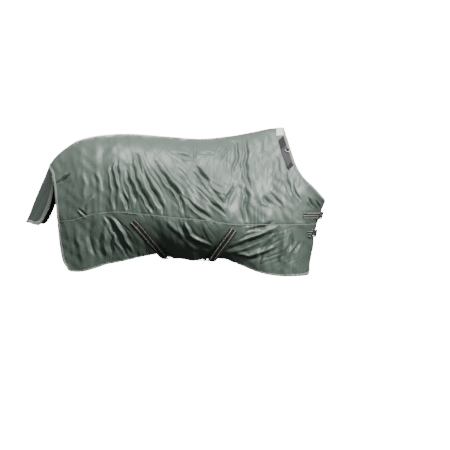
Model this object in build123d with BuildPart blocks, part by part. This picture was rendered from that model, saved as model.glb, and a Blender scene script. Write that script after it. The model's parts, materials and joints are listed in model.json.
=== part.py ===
"""Turnout rug for a horse of about 1.6 m at the withers, 145 cm back length, in the shape it has when worn.

Frame: +X towards the chest, +Y towards the horse's left side, +Z up. The origin is on the horse's back at
the withers, where the inside of the rug rests. All sizes are in millimetres.
"""

from build123d import *
from math import cos, pi, radians, sin, sqrt
import os

import numpy as np

os.makedirs("parts", exist_ok=True)

# ---------------------------------------------------------------- driving dimensions
NECK_TOP_X = 70  # the neckline crosses the spine this far ahead of the withers
SHELL_THICK = 2.6  # coated outer fabric, with its seam allowances
LINING_THICK = 1.8
LAYER_GAP = 0.5
BINDING_WIDTH = 14  # edge tape, folded round the edge
BINDING_THICK = 7
CHEST_STRAP_WIDTH = 38
SURCINGLE_WIDTH = 50
WEBBING_THICK = 2.2

GRID_LENGTH = 121  # samples along the rug and round the girth
GRID_GIRTH = 61
BARREL_SHARE = 0.76  # share of the samples that lie behind the neckline's top


def smooth(*points):
    """A smooth function through the given (place, value) points, with no overshoot."""
    at = np.array([p[0] for p in points], float)
    value = np.array([p[1] for p in points], float)
    step = np.diff(value) / np.diff(at)
    slope = np.zeros(len(at))
    slope[0], slope[-1] = step[0], step[-1]
    for i in range(1, len(at) - 1):
        if step[i - 1] * step[i] > 0:
            slope[i] = 2 * step[i - 1] * step[i] / (step[i - 1] + step[i])

    def curve(x):
        x = min(max(x, at[0]), at[-1])
        i = min(int(np.searchsorted(at, x, side="right")) - 1, len(at) - 2)
        h = at[i + 1] - at[i]
        t = (x - at[i]) / h
        return (
            (1 + 2 * t) * (1 - t) ** 2 * value[i]
            + t * (1 - t) ** 2 * h * slope[i]
            + t * t * (3 - 2 * t) * value[i + 1]
            + t * t * (t - 1) * h * slope[i + 1]
        )

    return curve


# ---------------------------------------------------------------- the form of the worn rug
# Each is a function of the distance along the body, from the dock at -1340 to the withers at 0.
spine_height = smooth((-1338, -206), (-1315, -172), (-1255, -117), (-1167, -64), (-1042, -37), (-898, -27),
                      (-630, -44), (-440, -58), (-250, -41), (-120, -18), (0, 5), (70, 10))
seam_height = smooth((-1290, -560), (-1197, -548), (-1042, -508), (-930, -497), (-782, -509), (-554, -533),
                     (-373, -550), (-197, -572), (0, -572), (70, -573))
hem_height = smooth((-1230, -838), (-1205, -848), (-1165, -852), (-965, -803), (-829, -776), (-690, -748),
                    (-580, -770), (-490, -786), (-370, -778), (-300, -776), (-197, -811), (-98, -850),
                    (31, -875), (70, -877))
seam_width = smooth((-1338, 182), (-1300, 194), (-1200, 240), (-1050, 274), (-850, 300), (-600, 322),
                    (-350, 316), (-150, 280), (70, 243))
hem_width = smooth((-1338, 182), (-1200, 222), (-1050, 236), (-850, 214), (-690, 168), (-550, 160),
                   (-400, 168), (-280, 190), (-130, 232), (70, 240))
back_roundness = smooth((-1338, 2.0), (-1000, 2.15), (-700, 2.0), (-450, 1.8), (-200, 1.55), (70, 1.42))
drop_bend = smooth((-1338, 1.3), (-950, 1.5), (-600, 2.1), (-300, 1.9), (70, 1.3))
# The rear edge, from the spine (0) to the seam (1), and from the seam (0) to the hem (1).
rear_edge_upper = smooth((0, -1338), (0.25, -1339), (0.5, -1313), (0.7, -1296), (1, -1277))
rear_edge_lower = smooth((0, -1277), (0.5, -1264), (0.85, -1243), (1, -1212))
# The breast line, as a function of height, and the neckline: its bearing off the chest's middle and height.
breast_line = smooth((-900, 232), (-800, 240), (-720, 248), (-650, 253), (-580, 272), (-525, 288),
                     (-450, 318), (-340, 380), (-220, 470), (0, 670))
neck_bearing = smooth((0, 90), (0.06, 80), (0.14, 74), (0.3, 69.5), (0.45, 65), (0.58, 57), (0.7, 46),
                      (0.84, 27), (1, 3.5))
neck_height = smooth((0, 10), (0.06, -22), (0.14, -72), (0.3, -150), (0.45, -226), (0.58, -290),
                     (0.7, -340), (0.84, -408), (1, -446))
front_bearing = smooth((-900, 27), (-780, 22), (-690, 10), (-640, 5), (-600, 3.5), (-440, 3.5))


def barrel_section(x, upper, share):
    """A point of the right side at distance x: share runs from spine to seam, or from seam to hem."""
    seam, width = seam_height(x), seam_width(x)
    if upper:
        power = 2 / back_roundness(x)
        out = width * sin(share * pi / 2) ** power
        return out, seam + (spine_height(x) - seam) * cos(share * pi / 2) ** power
    out = width - (width - hem_width(x)) * share ** drop_bend(x)
    return out, seam + (hem_height(x) - seam) * share


def barrel_width(height):
    """Half the width at the neckline's top, at a height: the inverse of barrel_section there."""
    seam, width = seam_height(NECK_TOP_X), seam_width(NECK_TOP_X)
    if height > seam:
        power = back_roundness(NECK_TOP_X)
        rise = min((height - seam) / (spine_height(NECK_TOP_X) - seam), 1)
        return width * (1 - rise**power) ** (1 / power)
    drop = (seam - height) / (seam - hem_height(NECK_TOP_X))
    return width - (width - hem_width(NECK_TOP_X)) * min(drop, 1) ** drop_bend(NECK_TOP_X)


def chest_point(bearing, height):
    """A point of the chest: bearing is 90 at the side and 0 at the middle, in degrees."""
    along, across = breast_line(height) - NECK_TOP_X, max(barrel_width(height), 1)
    a = radians(bearing)
    reach = 1 / sqrt((cos(a) / along) ** 2 + (sin(a) / across) ** 2)
    return NECK_TOP_X + reach * cos(a), -reach * sin(a), height


def column(c, upper, samples=80):
    """One line down the right side: c runs from 0 at the rear edge to 1 at the chest's middle."""
    points = []
    for k in range(samples + 1):
        share = k / samples
        if c <= BARREL_SHARE:
            start = (rear_edge_upper if upper else rear_edge_lower)(share)
            x = start + (NECK_TOP_X - start) * c / BARREL_SHARE
            out, z = barrel_section(x, upper, share)
            points.append((x, -out, z))
            continue
        t = (c - BARREL_SHARE) / (1 - BARREL_SHARE)
        top, seam, hem = neck_height(t), seam_height(NECK_TOP_X), hem_height(NECK_TOP_X)
        corner = 42 * max(0, (t - 0.8) / 0.2) ** 2.5  # the hem's front corner is rounded
        if upper:
            z = seam + (top - seam) * cos(share * pi / 2) ** (2 / back_roundness(NECK_TOP_X) * (1 - t) + t)
        else:
            z = seam + (hem + corner - seam) * share
        down = (neck_height(0) - z) / (neck_height(0) - hem) if t == 0 else (top - z) / (top - hem)
        even = 90 * (1 - t) + front_bearing(z) * t
        mix = min(down / 0.6, 1)
        mix = mix * mix * (3 - 2 * mix)
        points.append(chest_point(neck_bearing(t) * (1 - mix) + even * mix, z))
    points = np.array(points)
    run = np.concatenate([[0], np.cumsum(np.linalg.norm(np.diff(points, axis=0), axis=1))])
    even = np.linspace(0, run[-1], GRID_GIRTH // 2 + 1)
    return np.stack([np.interp(even, run, points[:, k]) for k in range(3)], axis=1)


class Form:
    """One side of the rug's outer surface as a grid, with a normal at each point."""

    def __init__(self):
        c = np.linspace(0, 1, GRID_LENGTH)
        halves = [(column(x, True), column(x, False)) for x in c]
        self.points = np.array([np.vstack([up, low[1:]]) for up, low in halves])
        self.seam = GRID_GIRTH // 2
        self.hem = self.points.shape[1] - 1
        along, down = np.gradient(self.points, axis=0), np.gradient(self.points, axis=1)
        normal = np.cross(down, along)
        normal[: int(GRID_LENGTH * BARREL_SHARE), 0, 1] = 0  # on the spine it has no sideways part
        self.normals = normal / np.maximum(np.linalg.norm(normal, axis=2, keepdims=True), 1e-9)

    def at(self, i, j, lift=0.0):
        """The point at grid place (i, j), which may lie between samples, lifted off the surface."""
        i = min(max(i, 0), GRID_LENGTH - 1)
        j = min(max(j, 0), self.hem)
        a, b = min(int(i), GRID_LENGTH - 2), min(int(j), self.hem - 1)
        s, t = i - a, j - b

        def mixed(grid):
            return (
                (1 - s) * (1 - t) * grid[a, b] + s * (1 - t) * grid[a + 1, b]
                + (1 - s) * t * grid[a, b + 1] + s * t * grid[a + 1, b + 1]
            )

        normal = mixed(self.normals)
        return mixed(self.points) + lift * normal / np.linalg.norm(normal)

    def rows_in(self, i, distance, first, step):
        """The girth place that lies a distance from row `first` down or up column i."""
        j, left = float(first), distance
        while left > 0 and 0 <= j + step * 0.25 <= self.hem:
            left -= np.linalg.norm(self.at(i, j + step * 0.25) - self.at(i, j))
            j += step * 0.25
        return j

    def columns_in(self, j, distance, first, step):
        """The place along row j that lies a distance from column `first`."""
        i, left = float(first), distance
        while left > 0 and 0 <= i + step * 0.1 <= GRID_LENGTH - 1:
            left -= np.linalg.norm(self.at(i + step * 0.1, j) - self.at(i, j))
            i += step * 0.1
        return i


FORM = Form()
FRONT = GRID_LENGTH - 1
MIDDLE = FORM.seam  # the row of the side seam
HEM = FORM.hem
NECK_START = BARREL_SHARE * FRONT + 0.5


# ---------------------------------------------------------------- sheets and straps
def closed_sheet(outer, inner):
    """A solid between two grids of the same layout, made of flat triangles and closed round its edges."""
    outer, inner = np.asarray(outer, float), np.asarray(inner, float)
    rows, count = outer.shape[1], outer.shape[0] * outer.shape[1]
    corners = [Vector(*p) for p in np.concatenate([outer.reshape(-1, 3), inner.reshape(-1, 3)])]
    triangles = []
    for a in range(outer.shape[0] - 1):
        for b in range(rows - 1):
            near, far = a * rows + b, (a + 1) * rows + b
            triangles += [(near, far, far + 1), (near, far + 1, near + 1)]
            near, far = near + count, far + count
            triangles += [(near, far + 1, far), (near, near + 1, far + 1)]
    rim = [(a * rows + b, (a + 1) * rows + b) for a in range(outer.shape[0] - 1) for b in (0, rows - 1)]
    rim += [(a * rows + b, a * rows + b + 1) for b in range(rows - 1) for a in (0, outer.shape[0] - 1)]
    for start, end in rim:
        triangles += [(start, end, end + count), (start, end + count, start + count)]
    faces = [Face(Wire.make_polygon([corners[k] for k in triangle], close=True)) for triangle in triangles]
    return Solid(Shell(faces))


def edge_rows(i, distance):
    """The row a distance below the top edge of column i."""
    return FORM.rows_in(i, distance, 0, 1)


def hem_rows(i, distance):
    """The row a distance above the hem of column i."""
    return FORM.rows_in(i, distance, HEM, -1)


def neckline(i, distance):
    """The top row of the cloth: a hair off the spine, or the neckline plus a distance."""
    if i <= NECK_START:
        return 0.12
    return edge_rows(i, max(distance * min((i - NECK_START) / 0.8, 1), 2))


def columns_at(share, inset):
    """Where the cloth starts and ends along a row: the rear edge and the front edge, both moved in."""
    j = share * HEM
    return FORM.columns_in(j, inset, 0, 1), FORM.columns_in(j, inset, FRONT, -1)


def cloth(top_share, bottom_share, inset, lift, columns, rows):
    """Grid of a panel between two shares of the girth, inset from the neck, hem, rear and front edges."""
    grid = []
    for a in range(columns):
        line = []
        for b in range(rows):
            share = top_share + (bottom_share - top_share) * b / (rows - 1)
            start, end = columns_at(share, inset)
            i = start + (end - start) * a / (columns - 1)
            high = max(neckline(i, inset), top_share * HEM)
            low = min(hem_rows(i, inset), bottom_share * HEM)
            line.append(FORM.at(i, high + (low - high) * b / (rows - 1), lift))
        grid.append(line)
    return grid


def strap(centres, outwards, width, thick):
    """A flat strap along a line of centre points, whose outer face looks along `outwards` at each."""
    centres, outwards = np.asarray(centres, float), np.asarray(outwards, float)
    ahead = np.gradient(centres, axis=0)
    sideways = np.cross(outwards, ahead)
    sideways /= np.linalg.norm(sideways, axis=1, keepdims=True)
    normal = np.cross(ahead, sideways)
    normal /= np.linalg.norm(normal, axis=1, keepdims=True)
    outer = [[c + s * width / 2 + n * thick, c - s * width / 2 + n * thick]
             for c, s, n in zip(centres, sideways, normal)]
    inner = [[c + s * width / 2, c - s * width / 2] for c, s in zip(centres, sideways)]
    return closed_sheet(outer, inner)


def relaxed(points, count, rounds=6):
    """The line through the points, evenly spaced, with its corners eased; further columns go along."""
    points = np.asarray(points, float)
    run = np.concatenate([[0], np.cumsum(np.linalg.norm(np.diff(points[:, :3], axis=0), axis=1))])
    even = np.linspace(0, run[-1], count)
    line = np.stack([np.interp(even, run, points[:, k]) for k in range(points.shape[1])], axis=1)
    for _ in range(rounds):
        line[1:-1] = (line[:-2] + 2 * line[1:-1] + line[2:]) / 4
    return line


def save(part, name):
    """Label a piece and write it under its node's name."""
    part.label = name
    export_step(part, f"parts/{name}.step")


def save_pair(part, name):
    """Write a right-hand piece and its mirror image on the left."""
    save(part, f"right_{name}")
    with BuildPart() as twin:
        mirror(part, about=Plane.XZ)
    save(twin.part, f"left_{name}")


BODY_INSET = BINDING_WIDTH + 4
SEAM_SHARE = MIDDLE / HEM
SEAM_HALF = 0.06 / 30  # half the gap between the panels, as a share of the girth

COLUMNS = 31
LINING_LIFT = -SHELL_THICK - LAYER_GAP

# ---------------------------------------------------------------- panels and lining
panels = {
    "upper_panel": (0, SEAM_SHARE - SEAM_HALF, 0, SHELL_THICK, 10),
    "drop_panel": (SEAM_SHARE + SEAM_HALF, 1, 0, SHELL_THICK, 7),
    "upper_lining": (0, SEAM_SHARE - SEAM_HALF, LINING_LIFT, LINING_THICK, 10),
    "drop_lining": (SEAM_SHARE + SEAM_HALF, 1, LINING_LIFT, LINING_THICK, 7),
}
for name, (top, bottom, lift, thick, rows) in panels.items():
    outer = cloth(top, bottom, BODY_INSET, lift, COLUMNS, rows)
    inner = cloth(top, bottom, BODY_INSET, lift - thick, COLUMNS, rows)
    with BuildPart() as panel:
        add(closed_sheet(outer, inner))
    save_pair(panel.part, name)


# ---------------------------------------------------------------- edge bindings and seam piping
def edge_strip(lines, lift, thick):
    """A strip given by pairs of places on the form, one pair for each step along it."""
    outer = [[FORM.at(*a, lift), FORM.at(*b, lift)] for a, b in lines]
    inner = [[FORM.at(*a, lift - thick), FORM.at(*b, lift - thick)] for a, b in lines]
    return closed_sheet(outer, inner)


def along_share(share, inset):
    """The column places of the panels' samples at a share of the girth."""
    start, end = columns_at(share, inset)
    return np.linspace(start, end, COLUMNS)


neck_columns = [i for i in along_share(0, BODY_INSET) if i > NECK_START + 0.8]
row_places = [0.6, 2.5, *np.linspace(4, MIDDLE, 8), *np.linspace(MIDDLE, HEM, 7)[1:]]
bindings = {
    "neck_binding": [((i, 0), (i, neckline(i, BINDING_WIDTH))) for i in neck_columns],
    "hem_binding": [((i, hem_rows(i, BINDING_WIDTH)), (i, HEM)) for i in along_share(1, BODY_INSET)],
    "front_binding": [((FORM.columns_in(j, BINDING_WIDTH, FRONT, -1), j), (FRONT, j)) for j in row_places[1:]],
    "rear_binding": [((0, j), (FORM.columns_in(j, BINDING_WIDTH, 0, 1), j)) for j in row_places],
}
for name, lines in bindings.items():
    with BuildPart() as binding:
        add(edge_strip(lines, (BINDING_THICK - SHELL_THICK - LAYER_GAP - LINING_THICK) / 2, BINDING_THICK))
    save_pair(binding.part, name)

piping_half = 0.16
piping_lines = [((i, MIDDLE - piping_half), (i, MIDDLE + piping_half)) for i in along_share(0.5, BODY_INSET + 3)]
with BuildPart() as piping:
    add(edge_strip(piping_lines, 3.2, 2.4))
save_pair(piping.part, "seam_piping")


# ---------------------------------------------------------------- withers patch and neck tape
def place_of(x, z, first, last):
    """The place on the right side whose side view is nearest to (x, z), between two columns."""
    span = FORM.points[first:last]
    gap = (span[:, :, 0] - x) ** 2 + (span[:, :, 2] - z) ** 2
    i, j = np.unravel_index(int(np.argmin(gap)), gap.shape)
    return i + first, j


patch_lines = [((i, 0.4), (i, 3.4)) for i in np.linspace(85, 90.5, 4)]
with BuildPart() as patch:
    add(edge_strip(patch_lines, 3.2, 1.4))
save_pair(patch.part, "withers_patch")


def neck_tape(first, last):
    """A strip of tape just behind the neck binding, between two columns of the front."""
    lines = []
    for i in np.linspace(first, last, 7):
        lines.append(((i, edge_rows(i, BINDING_WIDTH + 3)), (i, edge_rows(i, BINDING_WIDTH + 33))))
    return edge_strip(lines, 2.0, 1.4)


for name, first, last in (("label_tab", 94.2, 95.6), ("label_tape", 95.8, 103.4), ("label_end", 103.6, 104.6)):
    with BuildPart() as tape:
        add(neck_tape(first, last))
    save(tape.part, f"neck_{name}")


# ---------------------------------------------------------------- local frames on the form
def frame_on(origin, along, outwards):
    """A plane with its x axis along a direction and its z axis facing out."""
    origin, along, outwards = (np.asarray(v, float) for v in (origin, along, outwards))
    outwards = outwards / np.linalg.norm(outwards)
    along = along - outwards * np.dot(along, outwards)
    return Plane(origin=tuple(origin), x_dir=tuple(along / np.linalg.norm(along)), z_dir=tuple(outwards))


def chest_normal(bearing, height):
    """The way the chest faces at a bearing off its middle, in degrees, and a height."""
    across = np.subtract(chest_point(bearing - 1, height), chest_point(bearing + 1, height))
    up = np.subtract(chest_point(bearing, height + 5), chest_point(bearing, height - 5))
    normal = np.cross(across, up)
    return normal / np.linalg.norm(normal)


def on_chest(bearing, height, lift):
    """A point lifted off the chest."""
    return np.array(chest_point(bearing, height)) + lift * chest_normal(bearing, height)


def webbing_loop(plane, at, inner_length, inner_height, width):
    """A loop of webbing round a bar, seen end-on in the plane's x and z, centred at x = at."""
    with BuildPart() as loop:
        with BuildSketch(Plane(origin=plane.from_local_coords((at, 0, 0)), x_dir=plane.x_dir, z_dir=plane.y_dir)):
            RectangleRounded(inner_length + 2 * WEBBING_THICK, inner_height + 2 * WEBBING_THICK, 3.4)
            RectangleRounded(inner_length, inner_height, 1.4, mode=Mode.SUBTRACT)
        extrude(amount=width / 2, both=True)
    return loop.part


def d_ring(plane, radius, wire, bar_at):
    """A flat D-ring whose straight bar runs along the plane's y at x = bar_at, with its bow towards +x."""
    with BuildPart() as ring:
        with BuildSketch(plane):
            with Locations((bar_at + wire / 2, 0)):
                Circle(radius + wire)
            with Locations((bar_at - wire / 2 - 50, 0)):
                Rectangle(100, 200, mode=Mode.SUBTRACT)
            with BuildSketch(plane, mode=Mode.SUBTRACT):
                with Locations((bar_at + wire / 2, 0)):
                    Circle(radius)
                with Locations((bar_at + wire / 2 - 50, 0)):
                    Rectangle(100, 200, mode=Mode.SUBTRACT)
        extrude(amount=wire / 2, both=True)
        fillet(ring.edges(), radius=wire * 0.22)
    return ring.part


# ---------------------------------------------------------------- chest closures
CLOSURES = {"upper": (-520, 19, 62), "lower": (-628, 34, 52)}  # height, bearing of the hook, strap's start
STAND_OFF = 11.5  # the ring's plane above the chest
RING_RADIUS, RING_WIRE, RING_BAR = 20, 4, -30
BOW_INNER, HOOK_WIRE, BOW_AT = 4.5, 4.5, -4.7

for name, (height, bearing, start) in CLOSURES.items():
    normal = chest_normal(bearing, height)
    ahead = np.subtract(chest_point(bearing - 2, height), chest_point(bearing + 2, height))
    plane = frame_on(on_chest(bearing, height, STAND_OFF), ahead, normal)

    # The right front's strap, its loop and the D-ring in the loop.
    save(webbing_loop(plane, RING_BAR, 5.4, 5.0, CHEST_STRAP_WIDTH), f"{name}_ring_loop")
    save(d_ring(plane, RING_RADIUS, RING_WIRE, RING_BAR), f"{name}_chest_ring")
    sewn = [on_chest(b, height, 3.0) for b in np.linspace(start, bearing + 16.5, 9)]
    end = np.array(tuple(plane.from_local_coords((RING_BAR - 6.8, 0, -WEBBING_THICK / 2))))
    facing = [chest_normal(b, height) for b in np.linspace(start, bearing + 16.5, 9)]
    line = relaxed(np.hstack([[*sewn, end], [*facing, normal]]), 18)
    with BuildPart() as right_strap:
        add(strap(line[:, :3], line[:, 3:], CHEST_STRAP_WIDTH, WEBBING_THICK))
    save(right_strap.part, f"{name}_ring_strap")

    # The snap hook: a bow over the ring's wire, a shank through the swivel's barrel and a disc behind it.
    side = Plane(origin=plane.origin, x_dir=plane.x_dir, z_dir=-plane.y_dir)
    middle = BOW_INNER + HOOK_WIRE / 2
    with BuildPart() as hook:
        with BuildSketch(side):
            with Locations((BOW_AT, 0)):
                Circle(BOW_INNER + HOOK_WIRE)
            with Locations((BOW_AT + 50, 0)):
                Rectangle(100, 40, mode=Mode.SUBTRACT)
            with Locations((BOW_AT + 13.5, -middle)):
                Rectangle(27, HOOK_WIRE)
            with Locations((BOW_AT + 2.9, middle)):
                Rectangle(5.8, HOOK_WIRE)
            with Locations((BOW_AT + 24, -0.5)):
                Rectangle(6, 2 * middle + 1)
            with Locations((BOW_AT, 0)):
                Circle(BOW_INNER, mode=Mode.SUBTRACT)
        extrude(amount=HOOK_WIRE / 2 + 0.4, both=True)
        with BuildSketch(Plane(origin=plane.from_local_coords((BOW_AT + 26, 0, 0)), z_dir=plane.x_dir)):
            Circle(2)
        extrude(amount=13)
        with BuildSketch(Plane(origin=plane.from_local_coords((BOW_AT + 37, 0, 0)), z_dir=plane.x_dir)):
            Circle(3.6)
        extrude(amount=2)
    save(hook.part, f"{name}_snap_hook")
    with BuildPart() as gate:
        with BuildSketch(side):
            with Locations((BOW_AT + 12.6, middle)):
                SlotOverall(12.6, 3.2)
        extrude(amount=2, both=True)
    save(gate.part, f"{name}_snap_gate")

    # The swivel: a webbing bar frame with a barrel for the shank.
    with BuildPart() as swivel:
        with BuildSketch(plane):
            with Locations((34.3, 0)):
                RectangleRounded(22, 46, 3)
            with Locations((34.5, 0)):
                RectangleRounded(14, 39.6, 1.5, mode=Mode.SUBTRACT)
        extrude(amount=2, both=True)
        with BuildSketch(Plane(origin=plane.from_local_coords((23, 0, 0)), z_dir=plane.x_dir)):
            Circle(4.8)
        extrude(amount=5)
        with BuildSketch(Plane(origin=plane.from_local_coords((22, 0, 0)), z_dir=plane.x_dir)):
            Circle(2.5)
        extrude(amount=6, mode=Mode.SUBTRACT)
    save(swivel.part, f"{name}_swivel")
    save(webbing_loop(plane, 43.4, 5.6, 5.0, CHEST_STRAP_WIDTH), f"{name}_swivel_loop")

    # The left front's strap: taut from the swivel to where it meets the chest, then sewn down.
    free = np.array(tuple(plane.from_local_coords((51, 0, -WEBBING_THICK / 2))))
    touch = bearing - 36
    sewn = [on_chest(b, height, 5.8) for b in np.linspace(touch, -58, 14)]
    facing = [chest_normal(b, height) for b in np.linspace(touch, -58, 14)]
    line = relaxed(np.hstack([[free, *sewn], [facing[0], *facing]]), 30, 2)
    with BuildPart() as left_strap:
        add(strap(line[:, :3], line[:, 3:], CHEST_STRAP_WIDTH, WEBBING_THICK))
    save(left_strap.part, f"{name}_hook_strap")

    # The adjuster that slides along the taut part.
    slide = sewn[0] - free
    centre = free + slide * 0.5
    buckle = frame_on(centre, slide, facing[0])
    with BuildPart() as slider:
        with BuildSketch(buckle.offset(WEBBING_THICK / 2)):
            RectangleRounded(20, CHEST_STRAP_WIDTH + 9, 2)
        extrude(amount=4, both=True)
        with BuildSketch(buckle.offset(WEBBING_THICK / 2)):
            Rectangle(24, CHEST_STRAP_WIDTH + 2)
        extrude(amount=2.2, both=True, mode=Mode.SUBTRACT)
    save(slider.part, f"{name}_chest_slider")


# ---------------------------------------------------------------- neck rings
ring_i, ring_j = place_of(86, -118, 92, 100)
ring_point, ring_out = FORM.at(ring_i, ring_j + 1.2), FORM.at(ring_i, ring_j + 1.2, 1) - FORM.at(ring_i, ring_j + 1.2)
hang = frame_on(ring_point + 6.0 * ring_out, (0, 0, -1), ring_out)
save_pair(webbing_loop(hang, -16, 5.0, 5.0, 20), "neck_ring_tab")
save_pair(d_ring(hang, 11, 3, -16), "neck_ring")


# ---------------------------------------------------------------- surcingles
def path_on_side(start, end, steps, lift):
    """Points and outward directions on the right side between two side-view places (x, z), clear of the hem."""
    places = []
    for t in np.linspace(0, 1, steps):
        x, z = start[0] + (end[0] - start[0]) * t, start[1] + (end[1] - start[1]) * t
        places.append(place_of(x, z, 10, 100))
    line = np.array(places, float)
    for _ in range(4):
        line[1:-1] = (line[:-2] + 2 * line[1:-1] + line[2:]) / 4
    lifts = [lift + 12.5 * t**3 for t in np.linspace(0, 1, steps)]
    points = [FORM.at(i, j, up) for (i, j), up in zip(line, lifts)]
    return points, [FORM.at(i, j, lift + 1) - FORM.at(i, j, lift) for i, j in line]


REAR = path_on_side((-824, -548), (-655, -744), 12, 6.5)
AHEAD = path_on_side((-232, -600), (-352, -758), 12, 6.5)
ACROSS = np.array([1, -1, 1])
for name, near, far, drop in (("rear", REAR, AHEAD, -777), ("front", AHEAD, REAR, -787)):
    # The strap: down the right side, round the hem, under the belly and up to its hook on the left.
    down, up = near[0], [p * ACROSS for p in far[0]][::-1]
    turn_in = down[-1] + (down[-1] - down[-2]) * 0.9
    turn_out = up[0] + (up[0] - up[1]) * 0.9
    flat = [turn_in + (turn_out - turn_in) * t for t in (0.34, 0.5, 0.66)]
    points = [*down, turn_in, *[np.array([p[0], p[1], drop]) for p in flat], turn_out, *up[:4]]
    below = np.array([0, 0, -1.0])
    lean_in, lean_out = near[1][-1] + below, far[1][-1] * ACROSS + below
    outs = [*near[1], lean_in / 1.6, below, below, below, lean_out / 1.6]
    outs += [n * ACROSS for n in far[1][::-1][:4]]
    line = relaxed(np.hstack([points, outs]), 64, 3)
    with BuildPart() as band:
        add(strap(line[:, :3], line[:, 3:], SURCINGLE_WIDTH, WEBBING_THICK))
    save(band.part, f"{name}_surcingle")
    middle_of_run = int(np.argmin(np.linalg.norm(line[:, :3] - (turn_in * 0.3 + points[13] * 0.7), axis=1)))
    ahead = line[middle_of_run + 1, :3] - line[middle_of_run - 1, :3]
    buckle = frame_on(line[middle_of_run, :3], ahead, line[middle_of_run, 3:])
    with BuildPart() as slider:
        with BuildSketch(buckle.offset(WEBBING_THICK / 2)):
            RectangleRounded(22, SURCINGLE_WIDTH + 10, 2)
        extrude(amount=5.4, both=True)
        with BuildSketch(buckle.offset(WEBBING_THICK / 2)):
            Rectangle(26, SURCINGLE_WIDTH + 3)
        extrude(amount=3.6, both=True, mode=Mode.SUBTRACT)
    save(slider.part, f"{name}_surcingle_slider")

    # Its fastening on the left: a hook plate whose tongue drops into a keeper plate on a short strap.
    climb = up[6] - up[3]
    plates = frame_on(up[3], climb, far[1][-4] * ACROSS)
    with BuildPart() as hook_plate:
        with BuildSketch(plates):
            with Locations((14, 0)):
                RectangleRounded(18, 58, 3)
            with Locations((10, 0)):
                Rectangle(7, 51, mode=Mode.SUBTRACT)
        extrude(amount=3)
        with BuildSketch(plates.offset(3)):
            with Locations((27, 0)):
                RectangleRounded(22, 14, 2)
        extrude(amount=3)
        with BuildSketch(plates):
            with Locations((36.5, 0)):
                Rectangle(3, 12)
        extrude(amount=4)
    save(hook_plate.part, f"{name}_hook_plate")
    with BuildPart() as keeper:
        with BuildSketch(plates):
            with Locations((40, 0)):
                RectangleRounded(26, 58, 3)
            with Locations((36, 0)):
                RectangleRounded(9, 26, 1.5, mode=Mode.SUBTRACT)
            with Locations((48, 0)):
                Rectangle(4.5, 51, mode=Mode.SUBTRACT)
        extrude(amount=2.7)
    save(keeper.part, f"{name}_keeper_plate")
    short = [plates.from_local_coords((56, 0, 0)), *[Vector(*p) for p in up[7:]]]
    facing = [plates.z_dir, *[Vector(*(n * ACROSS)) for n in far[1][::-1][7:]]]
    line = relaxed([[*p, *n] for p, n in zip(short, facing)], 14, 2)
    with BuildPart() as short_strap:
        add(strap(line[:, :3], line[:, 3:], SURCINGLE_WIDTH, WEBBING_THICK))
    save(short_strap.part, f"{name}_keeper_strap")

# ---------------------------------------------------------------- tail flap
FLAP_TOP_GAP = 1.2
flap_half = smooth((0, 150), (0.4, 140), (1, 112))


def flap_point(w, s, lift=0.0):
    """A point of the flap: w runs from -1 at its right edge to 1, and s from the seam to the bottom."""
    top = np.array([-1340 - FLAP_TOP_GAP + 23 * w * w, 150 * w, -208 - 134 * abs(w) ** 1.7])
    bottom = np.array([-1490 + 92 * w * w, 112 * w, -560 - 28 * w * w])
    share = s ** (1 + 1.1 * w * w)
    point = top + (bottom - top) * np.array([share, s, s])
    return point + lift * np.array([-0.93, 0.25 * w, -0.2])


def flap_sheet(w_limits, s_limits, lift, thick, steps=(13, 9)):
    """A solid part of the flap."""
    places = [[(w, s) for s in np.linspace(*s_limits, steps[1])] for w in np.linspace(*w_limits, steps[0])]
    outer = [[flap_point(w, s, lift) for w, s in line] for line in places]
    inner = [[flap_point(w, s, lift - thick) for w, s in line] for line in places]
    return closed_sheet(outer, inner)


with BuildPart() as flap:
    add(flap_sheet((-0.9, 0.9), (0.0, 0.955), 0, SHELL_THICK))
save(flap.part, "tail_flap")
with BuildPart() as flap_lining:
    add(flap_sheet((-0.9, 0.9), (0.0, 0.955), LINING_LIFT, LINING_THICK))
save(flap_lining.part, "tail_flap_lining")
with BuildPart() as flap_binding:
    add(flap_sheet((-0.9, 0.9), (0.96, 1.0), 1, BINDING_THICK, (13, 2)))
    add(flap_sheet((-1.0, -0.905), (0.0, 1.0), 1, BINDING_THICK, (2, 9)))
    add(flap_sheet((0.905, 1.0), (0.0, 1.0), 1, BINDING_THICK, (2, 9)))
save(flap_binding.part, "tail_flap_binding")
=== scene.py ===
"""Turnout rug as it hangs on a horse: cloth, tapes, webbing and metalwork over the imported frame."""

import json
import logging
import math
from dataclasses import dataclass, field
from enum import Enum

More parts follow.
